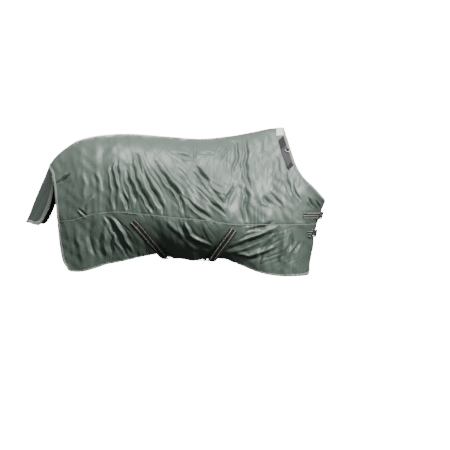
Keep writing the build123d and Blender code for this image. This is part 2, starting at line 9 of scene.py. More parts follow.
import bpy
import numpy as np
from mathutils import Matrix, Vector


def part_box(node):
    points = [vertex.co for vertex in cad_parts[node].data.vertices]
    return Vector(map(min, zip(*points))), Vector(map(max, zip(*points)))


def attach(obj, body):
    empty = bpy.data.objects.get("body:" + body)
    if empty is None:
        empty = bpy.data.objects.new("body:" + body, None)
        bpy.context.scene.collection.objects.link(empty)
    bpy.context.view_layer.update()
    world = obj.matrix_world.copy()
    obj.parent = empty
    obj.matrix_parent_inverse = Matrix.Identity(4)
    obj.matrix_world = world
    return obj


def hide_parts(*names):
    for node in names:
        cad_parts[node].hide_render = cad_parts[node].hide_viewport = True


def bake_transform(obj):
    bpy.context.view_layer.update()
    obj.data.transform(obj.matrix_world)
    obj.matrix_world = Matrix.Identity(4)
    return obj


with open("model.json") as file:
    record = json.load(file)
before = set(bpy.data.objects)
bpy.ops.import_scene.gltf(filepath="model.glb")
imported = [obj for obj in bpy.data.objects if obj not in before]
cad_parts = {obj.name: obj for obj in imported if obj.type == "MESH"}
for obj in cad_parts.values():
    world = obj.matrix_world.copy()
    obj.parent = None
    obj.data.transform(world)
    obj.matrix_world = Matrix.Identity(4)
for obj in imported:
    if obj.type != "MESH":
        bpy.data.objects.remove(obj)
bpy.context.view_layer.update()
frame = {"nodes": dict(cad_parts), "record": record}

logging.basicConfig(level=logging.INFO, format="%(message)s")
LOG = logging.getLogger("turnout_rug")

Array = np.ndarray
MM = 0.001


class Slot(Enum):
    """The record's material slots."""

    CLOTH = "coated_cloth"
    LINING = "lining_cloth"
    BINDING = "binding_tape"
    PIPING = "piping"
    STRIPED = "striped_webbing"
    BLACK = "black_webbing"
    WHITE = "white_patch"
    LABEL = "label_cloth"
    STEEL = "plated_steel"
    BRASS = "brass_plate"


class Side(Enum):
    """Which side of the horse a piece lies on: the sign its Y is given."""

    RIGHT = 1
    LEFT = -1


# ------------------------------------------------------------------ form of the worn rug
class Curve:
    """A smooth function through (place, value) points that never overshoots them."""

    def __init__(self, *points: tuple[float, float]) -> None:
        """Takes the points in rising order of place."""
        self.at = np.array([p[0] for p in points], float)
        self.value = np.array([p[1] for p in points], float)
        step = np.diff(self.value) / np.diff(self.at)
        slope = np.zeros(len(self.at))
        slope[0], slope[-1] = step[0], step[-1]
        for i in range(1, len(self.at) - 1):
            if step[i - 1] * step[i] > 0:
                slope[i] = 2 * step[i - 1] * step[i] / (step[i - 1] + step[i])
        self.slope = slope

    def __call__(self, x: Array | float) -> Array:
        """Args: x: places. Returns: the values there, held level beyond the ends."""
        x = np.clip(np.asarray(x, float), self.at[0], self.at[-1])
        i = np.clip(np.searchsorted(self.at, x, side="right") - 1, 0, len(self.at) - 2)
        h = self.at[i + 1] - self.at[i]
        t = (x - self.at[i]) / h
        return (
            (1 + 2 * t) * (1 - t) ** 2 * self.value[i]
            + t * (1 - t) ** 2 * h * self.slope[i]
            + t * t * (3 - 2 * t) * self.value[i + 1]
            + t * t * (t - 1) * h * self.slope[i + 1]
        )


@dataclass
class Form:
    """The right side's outer surface as a grid: u runs from the rear edge to the chest, v from spine to hem."""

    neck_top: float = 70
    barrel_share: float = 0.76
    lengthwise: int = 241
    girthwise: int = 121
    spine: Curve = field(default_factory=lambda: Curve(
        (-1338, -206), (-1315, -172), (-1255, -117), (-1167, -64), (-1042, -37), (-898, -27), (-630, -44),
        (-440, -58), (-250, -41), (-120, -18), (0, 5), (70, 10)))
    seam: Curve = field(default_factory=lambda: Curve(
        (-1290, -560), (-1197, -548), (-1042, -508), (-930, -497), (-782, -509), (-554, -533), (-373, -550),
        (-197, -572), (0, -572), (70, -573)))
    hem: Curve = field(default_factory=lambda: Curve(
        (-1230, -838), (-1205, -848), (-1165, -852), (-965, -803), (-829, -776), (-690, -748), (-580, -770),
        (-490, -786), (-370, -778), (-300, -776), (-197, -811), (-98, -850), (31, -875), (70, -877)))
    seam_width: Curve = field(default_factory=lambda: Curve(
        (-1338, 182), (-1300, 194), (-1200, 240), (-1050, 274), (-850, 300), (-600, 322), (-350, 316),
        (-150, 280), (70, 243)))
    hem_width: Curve = field(default_factory=lambda: Curve(
        (-1338, 182), (-1200, 222), (-1050, 236), (-850, 214), (-690, 168), (-550, 160), (-400, 168),
        (-280, 190), (-130, 232), (70, 240)))
    roundness: Curve = field(default_factory=lambda: Curve(
        (-1338, 2.0), (-1000, 2.15), (-700, 2.0), (-450, 1.8), (-200, 1.55), (70, 1.42)))
    drop_bend: Curve = field(default_factory=lambda: Curve(
        (-1338, 1.3), (-950, 1.5), (-600, 2.1), (-300, 1.9), (70, 1.3)))
    rear_upper: Curve = field(default_factory=lambda: Curve(
        (0, -1338), (0.25, -1339), (0.5, -1313), (0.7, -1296), (1, -1277)))
    rear_lower: Curve = field(default_factory=lambda: Curve((0, -1277), (0.5, -1264), (0.85, -1243), (1, -1212)))
    breast: Curve = field(default_factory=lambda: Curve(
        (-900, 232), (-800, 240), (-720, 248), (-650, 253), (-580, 272), (-525, 288), (-450, 318), (-340, 380),
        (-220, 470), (0, 670)))
    neck_bearing: Curve = field(default_factory=lambda: Curve(
        (0, 90), (0.06, 80), (0.14, 74), (0.3, 69.5), (0.45, 65), (0.58, 57), (0.7, 46), (0.84, 27), (1, 3.5)))
    neck_height: Curve = field(default_factory=lambda: Curve(
        (0, 10), (0.06, -22), (0.14, -72), (0.3, -150), (0.45, -226), (0.58, -290), (0.7, -340), (0.84, -408),
        (1, -446)))
    front_bearing: Curve = field(default_factory=lambda: Curve(
        (-900, 27), (-780, 22), (-690, 10), (-640, 5), (-600, 3.5), (-440, 3.5)))

    def below_neck(self, u: Array, distance: float, steps: int = 10) -> tuple[Array, Array]:
        """Args: u: places on the neckline; distance: metres. Returns: the places that far square to it."""
        u, v, step = np.array(u, float), np.zeros(np.shape(u)), 1e-3
        run = self.sample(np.minimum(u + step, 1), v)[0] - self.sample(u - step, v)[0]
        run /= np.linalg.norm(run, axis=-1, keepdims=True)
        for _ in range(steps):
            here = self.sample(u, v)[0]
            ahead = (self.sample(u - step, v)[0] - here) / -step
            down = (self.sample(u, v + step)[0] - here) / step
            aim = down - run * (down * run).sum(-1, keepdims=True)
            aim *= distance / steps / np.linalg.norm(aim, axis=-1, keepdims=True)
            aa, ad, dd = ((a * b).sum(-1) for a, b in ((ahead, ahead), (ahead, down), (down, down)))
            ta, td = (ahead * aim).sum(-1), (down * aim).sum(-1)
            u = np.clip(u + (ta * dd - td * ad) / (aa * dd - ad * ad), 0.6, 1)
            v = np.maximum(v + (td * aa - ta * ad) / (aa * dd - ad * ad), 0)
        return u, v

    def __post_init__(self) -> None:
        """Samples the grid, its normals and its lengths, in metres."""
        columns = [np.vstack([self._column(c, True), self._column(c, False)[1:]])
                   for c in np.linspace(0, 1, self.lengthwise)]
        self.points = np.array(columns) * MM
        along = np.gradient(self.points, axis=0)
        down = np.gradient(self.points, axis=1)
        normal = np.cross(down, along)
        normal[: int(self.lengthwise * self.barrel_share), 0, 1] = 0
        self.normals = normal / np.maximum(np.linalg.norm(normal, axis=2, keepdims=True), 1e-12)
        self.girth = np.linalg.norm(np.diff(self.points, axis=1), axis=2).sum(axis=1)
        self.end_pace = (
            np.linalg.norm(self.points[3] - self.points[0], axis=1) / 3 * (self.lengthwise - 1),
            np.linalg.norm(self.points[-4] - self.points[-1], axis=1) / 3 * (self.lengthwise - 1),
        )

    def barrel_width(self, height: Array) -> Array:
        """Args: height: heights in mm. Returns: half the width at the neckline's top."""
        x = self.neck_top
        seam, width, power = self.seam(x), self.seam_width(x), self.roundness(x)
        rise = np.clip((height - seam) / (self.spine(x) - seam), 0, 1)
        drop = np.clip((seam - height) / (seam - self.hem(x)), 0, 1)
        above = width * (1 - rise**power) ** (1 / power)
        return np.where(height > seam, above, width - (width - self.hem_width(x)) * drop ** self.drop_bend(x))

    def chest(self, bearing: Array | float, height: Array | float) -> Array:
        """Args: bearing: degrees off the chest's middle; height: mm. Returns: points on the chest, in mm."""
        height = np.asarray(height, float)
        ahead, across = self.breast(height) - self.neck_top, np.maximum(self.barrel_width(height), 1)
        a = np.radians(bearing)
        reach = 1 / np.sqrt((np.cos(a) / ahead) ** 2 + (np.sin(a) / across) ** 2)
        return np.stack([self.neck_top + reach * np.cos(a), -reach * np.sin(a), height + 0 * reach], axis=-1)

    def _column(self, c: float, upper: bool, samples: int = 80) -> Array:
        """Args: c: place along the rug; upper: spine to seam, or seam to hem. Returns: evenly spaced points."""
        share = np.linspace(0, 1, samples + 1)
        if c <= self.barrel_share:
            start = (self.rear_upper if upper else self.rear_lower)(share)
            x = start + (self.neck_top - start) * c / self.barrel_share
            seam, width = self.seam(x), self.seam_width(x)
            if upper:
                power = 2 / self.roundness(x)
                out = width * np.sin(share * np.pi / 2) ** power
                z = seam + (self.spine(x) - seam) * np.cos(share * np.pi / 2) ** power
            else:
                out = width - (width - self.hem_width(x)) * share ** self.drop_bend(x)
                z = seam + (self.hem(x) - seam) * share
            points = np.stack([x, -out, z], axis=1)
        else:
            t = (c - self.barrel_share) / (1 - self.barrel_share)
            top, seam, hem = self.neck_height(t), self.seam(self.neck_top), self.hem(self.neck_top)
            corner = 42 * max(0, (t - 0.8) / 0.2) ** 2.5
            if upper:
                power = 2 / self.roundness(self.neck_top) * (1 - t) + t
                z = seam + (top - seam) * np.cos(share * np.pi / 2) ** power
            else:
                z = seam + (hem + corner - seam) * share
            mix = np.clip((top - z) / (top - hem) / 0.6, 0, 1)
            mix = mix * mix * (3 - 2 * mix)
            even = 90 * (1 - t) + self.front_bearing(z) * t
            points = self.chest(self.neck_bearing(t) * (1 - mix) + even * mix, z)
        run = np.concatenate([[0], np.cumsum(np.linalg.norm(np.diff(points, axis=0), axis=1))])
        even = np.linspace(0, run[-1], self.girthwise // 2 + 1)
        return np.stack([np.interp(even, run, points[:, k]) for k in range(3)], axis=1)

    @staticmethod
    def _cubic(t: Array) -> tuple[Array, Array, Array, Array]:
        """Args: t: places between samples. Returns: the four samples' weights."""
        return (
            (-t + 2 * t**2 - t**3) / 2, (2 - 5 * t**2 + 3 * t**3) / 2, (t + 4 * t**2 - 3 * t**3) / 2,
            (-(t**2) + t**3) / 2,
        )

    def sample(self, u: Array, v: Array) -> tuple[Array, Array]:
        """Args: u, v: places from 0 to 1. Returns: the points there and their outward normals."""
        i, j = np.clip(u, 0, 1) * (self.lengthwise - 1), np.clip(v, 0, 1) * (self.girthwise - 1)
        a, b = np.minimum(i.astype(int), self.lengthwise - 2), np.minimum(j.astype(int), self.girthwise - 2)
        point, normal = 0, 0
        for m, s in zip(range(-1, 3), self._cubic(i - a)):
            row = np.clip(a + m, 0, self.lengthwise - 1)
            for n, t in zip(range(-1, 3), self._cubic(j - b)):
                column = np.clip(b + n, 0, self.girthwise - 1)
                weight = (s * t)[..., None]
                point = point + weight * self.points[row, column]
                normal = normal + weight * self.normals[row, column]
        return point, normal / np.maximum(np.linalg.norm(normal, axis=-1, keepdims=True), 1e-12)

    def down(self, u: Array, distance: float) -> Array:
        """Args: u: columns; distance: metres. Returns: how far in v that distance reaches."""
        return distance / np.interp(u, np.linspace(0, 1, self.lengthwise), self.girth)

    def ends(self, v: Array, inset: float) -> tuple[Array, Array]:
        """Args: v: rows; inset: metres. Returns: the columns that lie that far in from the rear and front edges."""
        rows = np.linspace(0, 1, self.girthwise)
        return inset / np.interp(v, rows, self.end_pace[0]), 1 - inset / np.interp(v, rows, self.end_pace[1])

    def place(self, x: float, z: float) -> tuple[float, float]:
        """Args: x, z: a place in the side view, in metres. Returns: its u and v."""
        gap = (self.points[:, :, 0] - x) ** 2 + (self.points[:, :, 2] - z) ** 2
        i, j = np.unravel_index(int(np.argmin(gap)), gap.shape)
        return i / (self.lengthwise - 1), j / (self.girthwise - 1)


# ------------------------------------------------------------------ folds
@dataclass(frozen=True)
class Fold:
    """A crease in the cloth: its line in the side view, its half-width and its height (valleys negative)."""

    line: tuple[tuple[float, float], ...]
    width: float
    height: float

    def at(self, x: Array, z: Array) -> Array:
        """Args: x, z: side-view places. Returns: how far the fold moves the cloth outwards there."""
        best, share = np.full(x.shape, 9.0), np.zeros(x.shape)
        side = np.zeros(x.shape)
        spans = [math.dist(a, b) for a, b in zip(self.line, self.line[1:])]
        done = 0.0
        for (ax, az), (bx, bz), span in zip(self.line, self.line[1:], spans):
            t = np.clip(((x - ax) * (bx - ax) + (z - az) * (bz - az)) / span**2, 0, 1)
            gap = np.hypot(x - ax - t * (bx - ax), z - az - t * (bz - az))
            near = gap < best
            best = np.where(near, gap, best)
            share = np.where(near, (done + t * span) / sum(spans), share)
            side = np.where(near, np.sign((x - ax) * (bz - az) - (z - az) * (bx - ax)), side)
            done += span
        taper = np.sin(np.pi * np.clip(share, 0.02, 0.98)) ** 0.8
        width = self.width * (0.5 + 0.35 * taper)
        core = np.exp(-((best / width) ** 2))
        shoulder = np.exp(-(((best - 2.1 * width) / (1.1 * width)) ** 2)) * np.where(side > 0, 0.5, 0.22)
        return self.height * taper * (core - shoulder)

    def shifted(self, rng: np.random.Generator) -> "Fold":
        """Args: rng: seeded source. Returns: the fold moved and resized a little, for the other side."""
        dx, dz = rng.normal(0, 0.03, 2)
        line = tuple((x + dx + rng.normal(0, 0.008), z + dz + rng.normal(0, 0.006)) for x, z in self.line)
        return Fold(line, self.width * rng.uniform(0.85, 1.25), self.height * rng.uniform(0.6, 1.1))


HIP_FOLDS = (
    Fold(((-0.948, -0.216), (-0.934, -0.37), (-0.922, -0.493)), 0.012, -0.015),
    Fold(((-0.922, -0.189), (-0.911, -0.259), (-0.905, -0.329)), 0.010, -0.009),
    Fold(((-0.893, -0.382), (-0.864, -0.44), (-0.843, -0.499)), 0.010, -0.010),
    Fold(((-0.864, -0.247), (-0.835, -0.353), (-0.805, -0.464)), 0.010, -0.011),
    Fold(((-0.835, -0.218), (-0.782, -0.364), (-0.741, -0.435), (-0.7, -0.499)), 0.011, -0.013),
    Fold(((-0.823, -0.136), (-0.8, -0.201), (-0.782, -0.268)), 0.010, -0.008),
    Fold(((-0.759, -0.265), (-0.724, -0.341), (-0.683, -0.414), (-0.642, -0.511)), 0.014, -0.013),
    Fold(((-0.706, -0.206), (-0.601, -0.329), (-0.554, -0.394), (-0.525, -0.516)), 0.012, -0.015),
)
LOIN_FOLDS = (
    Fold(((-0.583, -0.142), (-0.525, -0.165), (-0.466, -0.195)), 0.010, -0.008),
    Fold(((-0.466, -0.221), (-0.42, -0.277), (-0.379, -0.335)), 0.012, -0.014),
    Fold(((-0.519, -0.414), (-0.437, -0.487), (-0.361, -0.546)), 0.012, -0.012),
    Fold(((-0.373, -0.435), (-0.326, -0.475), (-0.285, -0.513)), 0.010, -0.010),
    Fold(((-0.367, -0.364), (-0.332, -0.399), (-0.291, -0.446)), 0.010, -0.009),
    Fold(((-0.443, -0.16), (-0.39, -0.151), (-0.343, -0.145)), 0.008, -0.006),
    Fold(((-0.46, -0.125), (-0.46, -0.16), (-0.46, -0.195)), 0.008, -0.006),
)
WITHERS_FOLDS = (
    Fold(((-0.259, -0.066), (-0.221, -0.089), (-0.215, -0.206), (-0.244, -0.282)), 0.010, -0.010),
    Fold(((-0.256, -0.078), (-0.285, -0.136), (-0.314, -0.201)), 0.010, -0.007),
    Fold(((-0.238, -0.341), (-0.256, -0.399), (-0.279, -0.464)), 0.011, -0.012),
    Fold(((-0.162, -0.049), (-0.162, -0.206), (-0.145, -0.353)), 0.011, -0.011),
    Fold(((-0.177, -0.341), (-0.156, -0.394), (-0.156, -0.54)), 0.012, -0.013),
    Fold(((-0.028, -0.049), (-0.063, -0.142), (-0.095, -0.236)), 0.010, -0.004),
    Fold(((0.013, -0.165), (0.031, -0.23), (0.042, -0.303)), 0.010, -0.004),
    Fold(((0.072, -0.262), (0.095, -0.329), (0.113, -0.394)), 0.010, -0.005),
    Fold(((0.121, -0.335), (0.136, -0.382), (0.154, -0.429)), 0.009, -0.006),
    Fold(((-0.042, -0.376), (0.002, -0.417), (0.048, -0.458)), 0.010, -0.005),
    Fold(((-0.069, -0.405), (-0.045, -0.435), (-0.016, -0.458)), 0.012, -0.007),
    Fold(((0.212, -0.417), (0.224, -0.446), (0.235, -0.475)), 0.008, -0.007),
    Fold(((0.256, -0.435), (0.265, -0.458), (0.276, -0.487)), 0.008, -0.006),
)
RUMP_FOLDS = (
    Fold(((-1.054, -0.399), (-1.08, -0.452), (-1.104, -0.499)), 0.010, 0.009),
    Fold(((-1.15, -0.481), (-1.127, -0.505), (-1.104, -0.528)), 0.008, -0.007),
    Fold(((-1.127, -0.259), (-1.115, -0.341), (-1.11, -0.429)), 0.015, 0.005),
    Fold(((-1.039, -0.259), (-1.028, -0.341), (-1.016, -0.429)), 0.015, 0.005),
    Fold(((-1.215, -0.264), (-1.25, -0.3), (-1.281, -0.336)), 0.008, -0.011),
)
DROP_FOLDS = (
    Fold(((-0.993, -0.522), (-0.987, -0.663), (-0.993, -0.797)), 0.016, 0.011),
    Fold(((-0.946, -0.581), (-0.946, -0.692), (-0.958, -0.78)), 0.012, -0.008),
    Fold(((-0.958, -0.522), (-0.893, -0.622), (-0.817, -0.733)), 0.010, 0.013),
    Fold(((-0.993, -0.511), (-0.922, -0.639), (-0.858, -0.75)), 0.010, -0.010),
    Fold(((-0.893, -0.663), (-0.876, -0.709), (-0.858, -0.762)), 0.008, -0.006),
    Fold(((-0.519, -0.54), (-0.484, -0.622), (-0.431, -0.668), (-0.361, -0.698)), 0.010, 0.012),
    Fold(((-0.548, -0.557), (-0.513, -0.639), (-0.455, -0.698), (-0.384, -0.721)), 0.012, -0.009),
    Fold(((-0.642, -0.54), (-0.548, -0.616), (-0.42, -0.692)), 0.015, 0.005),
    Fold(((-0.186, -0.668), (-0.086, -0.633), (0.019, -0.581)), 0.012, 0.014),
    Fold(((-0.221, -0.742), (-0.145, -0.759), (-0.057, -0.727), (0.019, -0.692)), 0.013, 0.014),
    Fold(((-0.291, -0.715), (-0.174, -0.692), (-0.051, -0.645)), 0.015, -0.013),
    Fold(((-0.168, -0.61), (-0.069, -0.592), (0.007, -0.551)), 0.011, -0.008),
    Fold(((0.025, -0.587), (-0.01, -0.663), (-0.069, -0.744), (-0.092, -0.815)), 0.013, -0.009),
    Fold(((0.06, -0.604), (0.06, -0.698), (0.042, -0.78)), 0.013, 0.008),
    Fold(((0.107, -0.616), (0.101, -0.698), (0.06, -0.774)), 0.013, -0.008),
    Fold(((0.154, -0.674), (0.13, -0.733), (0.107, -0.803)), 0.013, -0.007),
    Fold(((-1.162, -0.581), (-1.145, -0.692), (-1.133, -0.791)), 0.018, 0.005),
    Fold(((-1.086, -0.557), (-1.074, -0.674), (-1.057, -0.768)), 0.015, -0.006),
)
# Where straps lie on the cloth and press it flat.
STRAP_LINES = (
    ((-0.834, -0.533), (-0.648, -0.744)),
    ((-0.225, -0.587), (-0.356, -0.759)),
    ((0.165, -0.516), (0.32, -0.516)),
    ((0.165, -0.628), (0.32, -0.628)),
)


@dataclass(frozen=True)
class CreaseFamily:
    """Thin creases that fan out from a point above them, over an oval patch of the cloth."""

    focus: tuple[float, float]
    centre: tuple[float, float]
    reach: tuple[float, float]
    spacing: float
    depth: float

    def at(self, x: Array, z: Array, phase: float) -> Array:
        """Args: x, z: side-view places; phase: seed. Returns: how far the creases move the cloth outwards."""
        ahead, below = x - self.focus[0], self.focus[1] - z
        radius = np.hypot(ahead, below)
        middle = math.dist(self.focus, self.centre)
        pace = np.pi * middle / self.spacing
        turn = pace * np.arctan2(ahead, below)
        turn = turn + 1.1 * np.sin(8 * radius + phase) + 0.7 * np.sin(23 * radius + 0.31 * turn + 2 * phase)
        index = np.round(turn / np.pi)
        chance = [np.modf(np.abs(np.sin(index * k + phase) * 437.5))[0] for k in (12.9, 78.2, 37.7)]
        span = max(self.reach)
        start = middle + span * 0.9 * (chance[0] - 0.5)
        along = np.exp(-(((radius - start) / (span * (0.25 + 0.5 * chance[1]))) ** 4))
        valley = 1.3 * np.exp(-((np.sin(turn) / 0.36) ** 2)) - 0.28
        oval = ((x - self.centre[0]) / self.reach[0]) ** 2 + ((z - self.centre[1]) / self.reach[1]) ** 2
        return -self.depth * valley * along * (0.25 + 0.75 * chance[2]) * np.exp(-(oval**1.5))


CREASES = (
    CreaseFamily((-0.99, 0.29), (-0.70, -0.34), (0.30, 0.20), 0.026, 0.0052),
    CreaseFamily((-0.10, 0.75), (-0.20, -0.25), (0.20, 0.22), 0.034, 0.0042),
    CreaseFamily((-1.9, 0.8), (-0.40, -0.40), (0.24, 0.14), 0.032, 0.0042),
    CreaseFamily((0.30, 0.40), (0.08, -0.33), (0.16, 0.18), 0.034, 0.0026),
    CreaseFamily((-1.0, 0.5), (-1.12, -0.33), (0.17, 0.18), 0.036, 0.0022),
    CreaseFamily((-1.25, -0.10), (-0.90, -0.64), (0.16, 0.13), 0.026, 0.0046),
    CreaseFamily((1.3, -0.10), (-0.06, -0.69), (0.24, 0.12), 0.030, 0.0058),
    CreaseFamily((-0.9, 0.1), (-0.46, -0.62), (0.16, 0.10), 0.034, 0.0034),
    CreaseFamily((-1.1, 0.6), (-1.12, -0.69), (0.12, 0.14), 0.034, 0.0024),
    CreaseFamily((0.35, 0.3), (0.10, -0.72), (0.10, 0.12), 0.028, 0.0034),
)


@dataclass
class ClothSide:
    """One side's cloth: the form with its folds, wrinkles and seam puckers, on the right or mirrored."""

    form: Form
    side: Side
    seed: int
    sharpness: float = 1.35
    wrinkles: tuple[tuple[float, float, float], ...] = (
        (90, 22, 0.0007), (61, -48, 0.0008), (140, 30, 0.00035), (35, 75, 0.0007),
    )

    def __post_init__(self) -> None:
        """Chooses this side's folds and the phases of its small wrinkles."""
        rng = np.random.default_rng(self.seed)
        folds = (*HIP_FOLDS, *LOIN_FOLDS, *WITHERS_FOLDS, *RUMP_FOLDS, *DROP_FOLDS)
        if self.side is Side.LEFT:
            folds = tuple(fold.shifted(rng) for fold in folds)
        self.folds = folds
        self.waves = rng.uniform(0, 2 * np.pi, (24,))

    def _sway(self, x: Array, z: Array) -> tuple[Array, Array]:
        """Args: x, z: side-view places. Returns: the places moved a little, so that long folds are not straight."""
        w = self.waves
        return (x + 0.006 * np.sin(29 * z + 8 * x + w[18]) + 0.003 * np.sin(71 * z - 20 * x + w[19]),
                z + 0.006 * np.sin(23 * x - 9 * z + w[20]))

    def relief(self, x: Array, z: Array, v: Array) -> Array:
        """Args: x, z: side-view places; v: rows. Returns: the folds' height over the smooth form."""
        height = np.zeros(x.shape)
        for fold in self.folds:
            height += fold.at(*self._sway(x, z)) * self.sharpness
        w = self.waves
        for k, family in enumerate(CREASES):
            height += family.at(x, z, w[k])
        sway = x + 0.25 * z
        height += 0.0022 * np.sin(31 * sway + 2.2 * np.sin(6 * z + w[0]) + w[1])
        height += 0.0016 * np.sin(47 * sway - 9 * z + 1.7 * np.sin(11 * x + w[2]) + w[3])
        for k, (fx, fz, amount) in enumerate(self.wrinkles):
            height += amount * np.sin(fx * x + fz * z + 1.6 * np.sin(0.4 * fz * x + 17 * z + w[4 + k]) + w[8 + k])
        # Puckers along the side seam, and along the hem.
        for k, (row, reach, amount) in enumerate(((0.5, 0.022, 0.0012), (1.0, 0.026, 0.0026))):
            beside = np.abs(v - row) / reach
            comb = np.sin(190 * x + 6 * np.sin(21 * x + w[12 + k])) * np.clip(0.3 + np.sin(13 * x + w[15 + k]), 0, 1)
            height += amount * comb * beside * np.exp(1 - beside) * 0.8
        height -= 0.0022 * np.exp(-(((v - 0.5) / 0.006) ** 2))
        calm = np.ones(x.shape)
        for (ax, az), (bx, bz) in STRAP_LINES:
            span = math.dist((ax, az), (bx, bz))
            t = np.clip(((x - ax) * (bx - ax) + (z - az) * (bz - az)) / span**2, -0.05, 1.1)
            gap = np.hypot(x - ax - t * (bx - ax), z - az - t * (bz - az))
            pressed = np.clip((gap - 0.026) / 0.03, 0, 1)
            calm = np.minimum(calm, pressed * pressed * (3 - 2 * pressed))
        spine = np.clip(v / 0.07, 0, 1)
        return height * calm * spine * spine * (3 - 2 * spine)

    def surface(self, u: Array, v: Array, lift: float | Array = 0.0) -> tuple[Array, Array]:
        """Args: u, v: places; lift: metres outwards. Returns: the cloth's points there and their normals."""
        u, v = np.asarray(u, float), np.asarray(v, float)
        point, normal = self.form.sample(u, v)
        height = self.relief(point[..., 0], point[..., 2], v) + lift
        point = point + normal * np.asarray(height)[..., None]
        flip = np.array([1, self.side.value, 1])
        return point * flip, normal * flip


# ------------------------------------------------------------------ meshes
def new_mesh(name: str, points: Array, faces: list[tuple[int, ...]], uv: Array | None, material: bpy.types.Material,
             body: str = "rug") -> bpy.types.Object:
    """Makes a smooth-shaded closed mesh that faces outwards and rides on a body.

    Args: name, points, faces, uv (one pair a point), material, body. Returns: the object.
    """
    mesh = bpy.data.meshes.new(name)
    mesh.from_pydata(points.tolist(), [], faces)
    mesh.validate()
    if uv is not None:
        layer = mesh.uv_layers.new(name="UVMap")
        index = np.empty(len(mesh.loops), int)
        mesh.loops.foreach_get("vertex_index", index)
        layer.data.foreach_set("uv", uv[index].astype(np.float32).ravel())
    mesh.polygons.foreach_set("use_smooth", np.ones(len(mesh.polygons), bool))
    mesh.materials.append(material)
    obj = bpy.data.objects.new(name, mesh)
    bpy.context.scene.collection.objects.link(obj)
    count, volume = len(mesh.polygons), 0.0
    mesh.calc_loop_triangles()
    corners = np.empty(len(mesh.loop_triangles) * 3, int)
    mesh.loop_triangles.foreach_get("vertices", corners)
    tri = points[corners.reshape(-1, 3)] - points.mean(axis=0)
    volume = np.einsum("ij,ij->i", tri[:, 0], np.cross(tri[:, 1], tri[:, 2])).sum()
    if count and volume < 0:
        mesh.flip_normals()
    if body:
        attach(obj, body)
    return obj


def shell_mesh(outer: Array, inner: Array) -> tuple[Array, list[tuple[int, ...]]]:
    """Args: outer, inner: grids of one layout. Returns: the points and faces of the closed shell between them."""
    m, n = outer.shape[:2]
    points = np.concatenate([outer.reshape(-1, 3), inner.reshape(-1, 3)])
    ids = np.arange(m * n).reshape(m, n)
    quad = np.stack([ids[:-1, :-1], ids[1:, :-1], ids[1:, 1:], ids[:-1, 1:]], axis=-1).reshape(-1, 4)
    back = quad[:, ::-1] + m * n
    rim = np.concatenate([ids[0, :], ids[1:, -1], ids[-1, -2::-1], ids[-2:0:-1, 0]])
    after = np.roll(rim, -1)
    edge = np.stack([after, rim, rim + m * n, after + m * n], axis=1)
    return points, [tuple(f) for f in np.concatenate([quad, back, edge[:, ::-1]]).tolist()]


def tube_mesh(rings: Array) -> tuple[Array, list[tuple[int, ...]]]:
    """Args: rings: loops of points along a path. Returns: the points and faces of the closed tube."""
    m, n = rings.shape[:2]
    ids = np.arange(m * n).reshape(m, n)
    turn = np.roll(ids, -1, axis=1)
    quad = np.stack([ids[:-1], ids[1:], turn[1:], turn[:-1]], axis=-1).reshape(-1, 4)
    faces = [tuple(f) for f in quad.tolist()]
    faces.append(tuple(ids[0].tolist()))
    faces.append(tuple(ids[-1][::-1].tolist()))
    return rings.reshape(-1, 3), faces


def strap_rings(line: Array, outs: Array, width: float, thick: float, crown: float = 0.0) -> tuple[Array, Array]:
    """Args: line, outs: centre points and facing; width, thick, crown. Returns: the strap's rings and their UVs."""
    ahead = np.gradient(line, axis=0)
    sideways = np.cross(outs, ahead)
    sideways /= np.linalg.norm(sideways, axis=1, keepdims=True)
    normal = np.cross(ahead, sideways)
    normal /= np.linalg.norm(normal, axis=1, keepdims=True)
    across = np.linspace(-1, 1, 11)
    rim = 1 - np.abs(across) ** 8
    top = thick * (0.55 + 0.45 * rim) + crown * (1 - across**2)
    low = thick * 0.45 * (1 - rim) + crown * (1 - across**2)
    offsets = np.concatenate([across, across[::-1]]) * width / 2
    heights = np.concatenate([top, low[::-1]])
    rings = line[:, None] + sideways[:, None] * offsets[None, :, None] + normal[:, None] * heights[None, :, None]
    run = np.concatenate([[0], np.cumsum(np.linalg.norm(np.diff(line, axis=0), axis=1))])
    u = np.concatenate([across, across[::-1]]) / 2 + 0.5
    uv = np.stack(np.broadcast_arrays(u[None, :], run[:, None]), axis=-1).reshape(-1, 2)
    return rings, uv


def eased(points: Array, count: int, rounds: int = 3) -> Array:
    """Args: points: rows whose first three columns are a path. Returns: the rows evenly spaced, corners eased."""
    points = np.asarray(points, float)
    run = np.concatenate([[0], np.cumsum(np.linalg.norm(np.diff(points[:, :3], axis=0), axis=1))])
    even = np.linspace(0, run[-1], count)
    line = np.stack([np.interp(even, run, points[:, k]) for k in range(points.shape[1])], axis=1)
    for _ in range(rounds):
        line[1:-1] = (line[:-2] + 2 * line[1:-1] + line[2:]) / 4
    return line


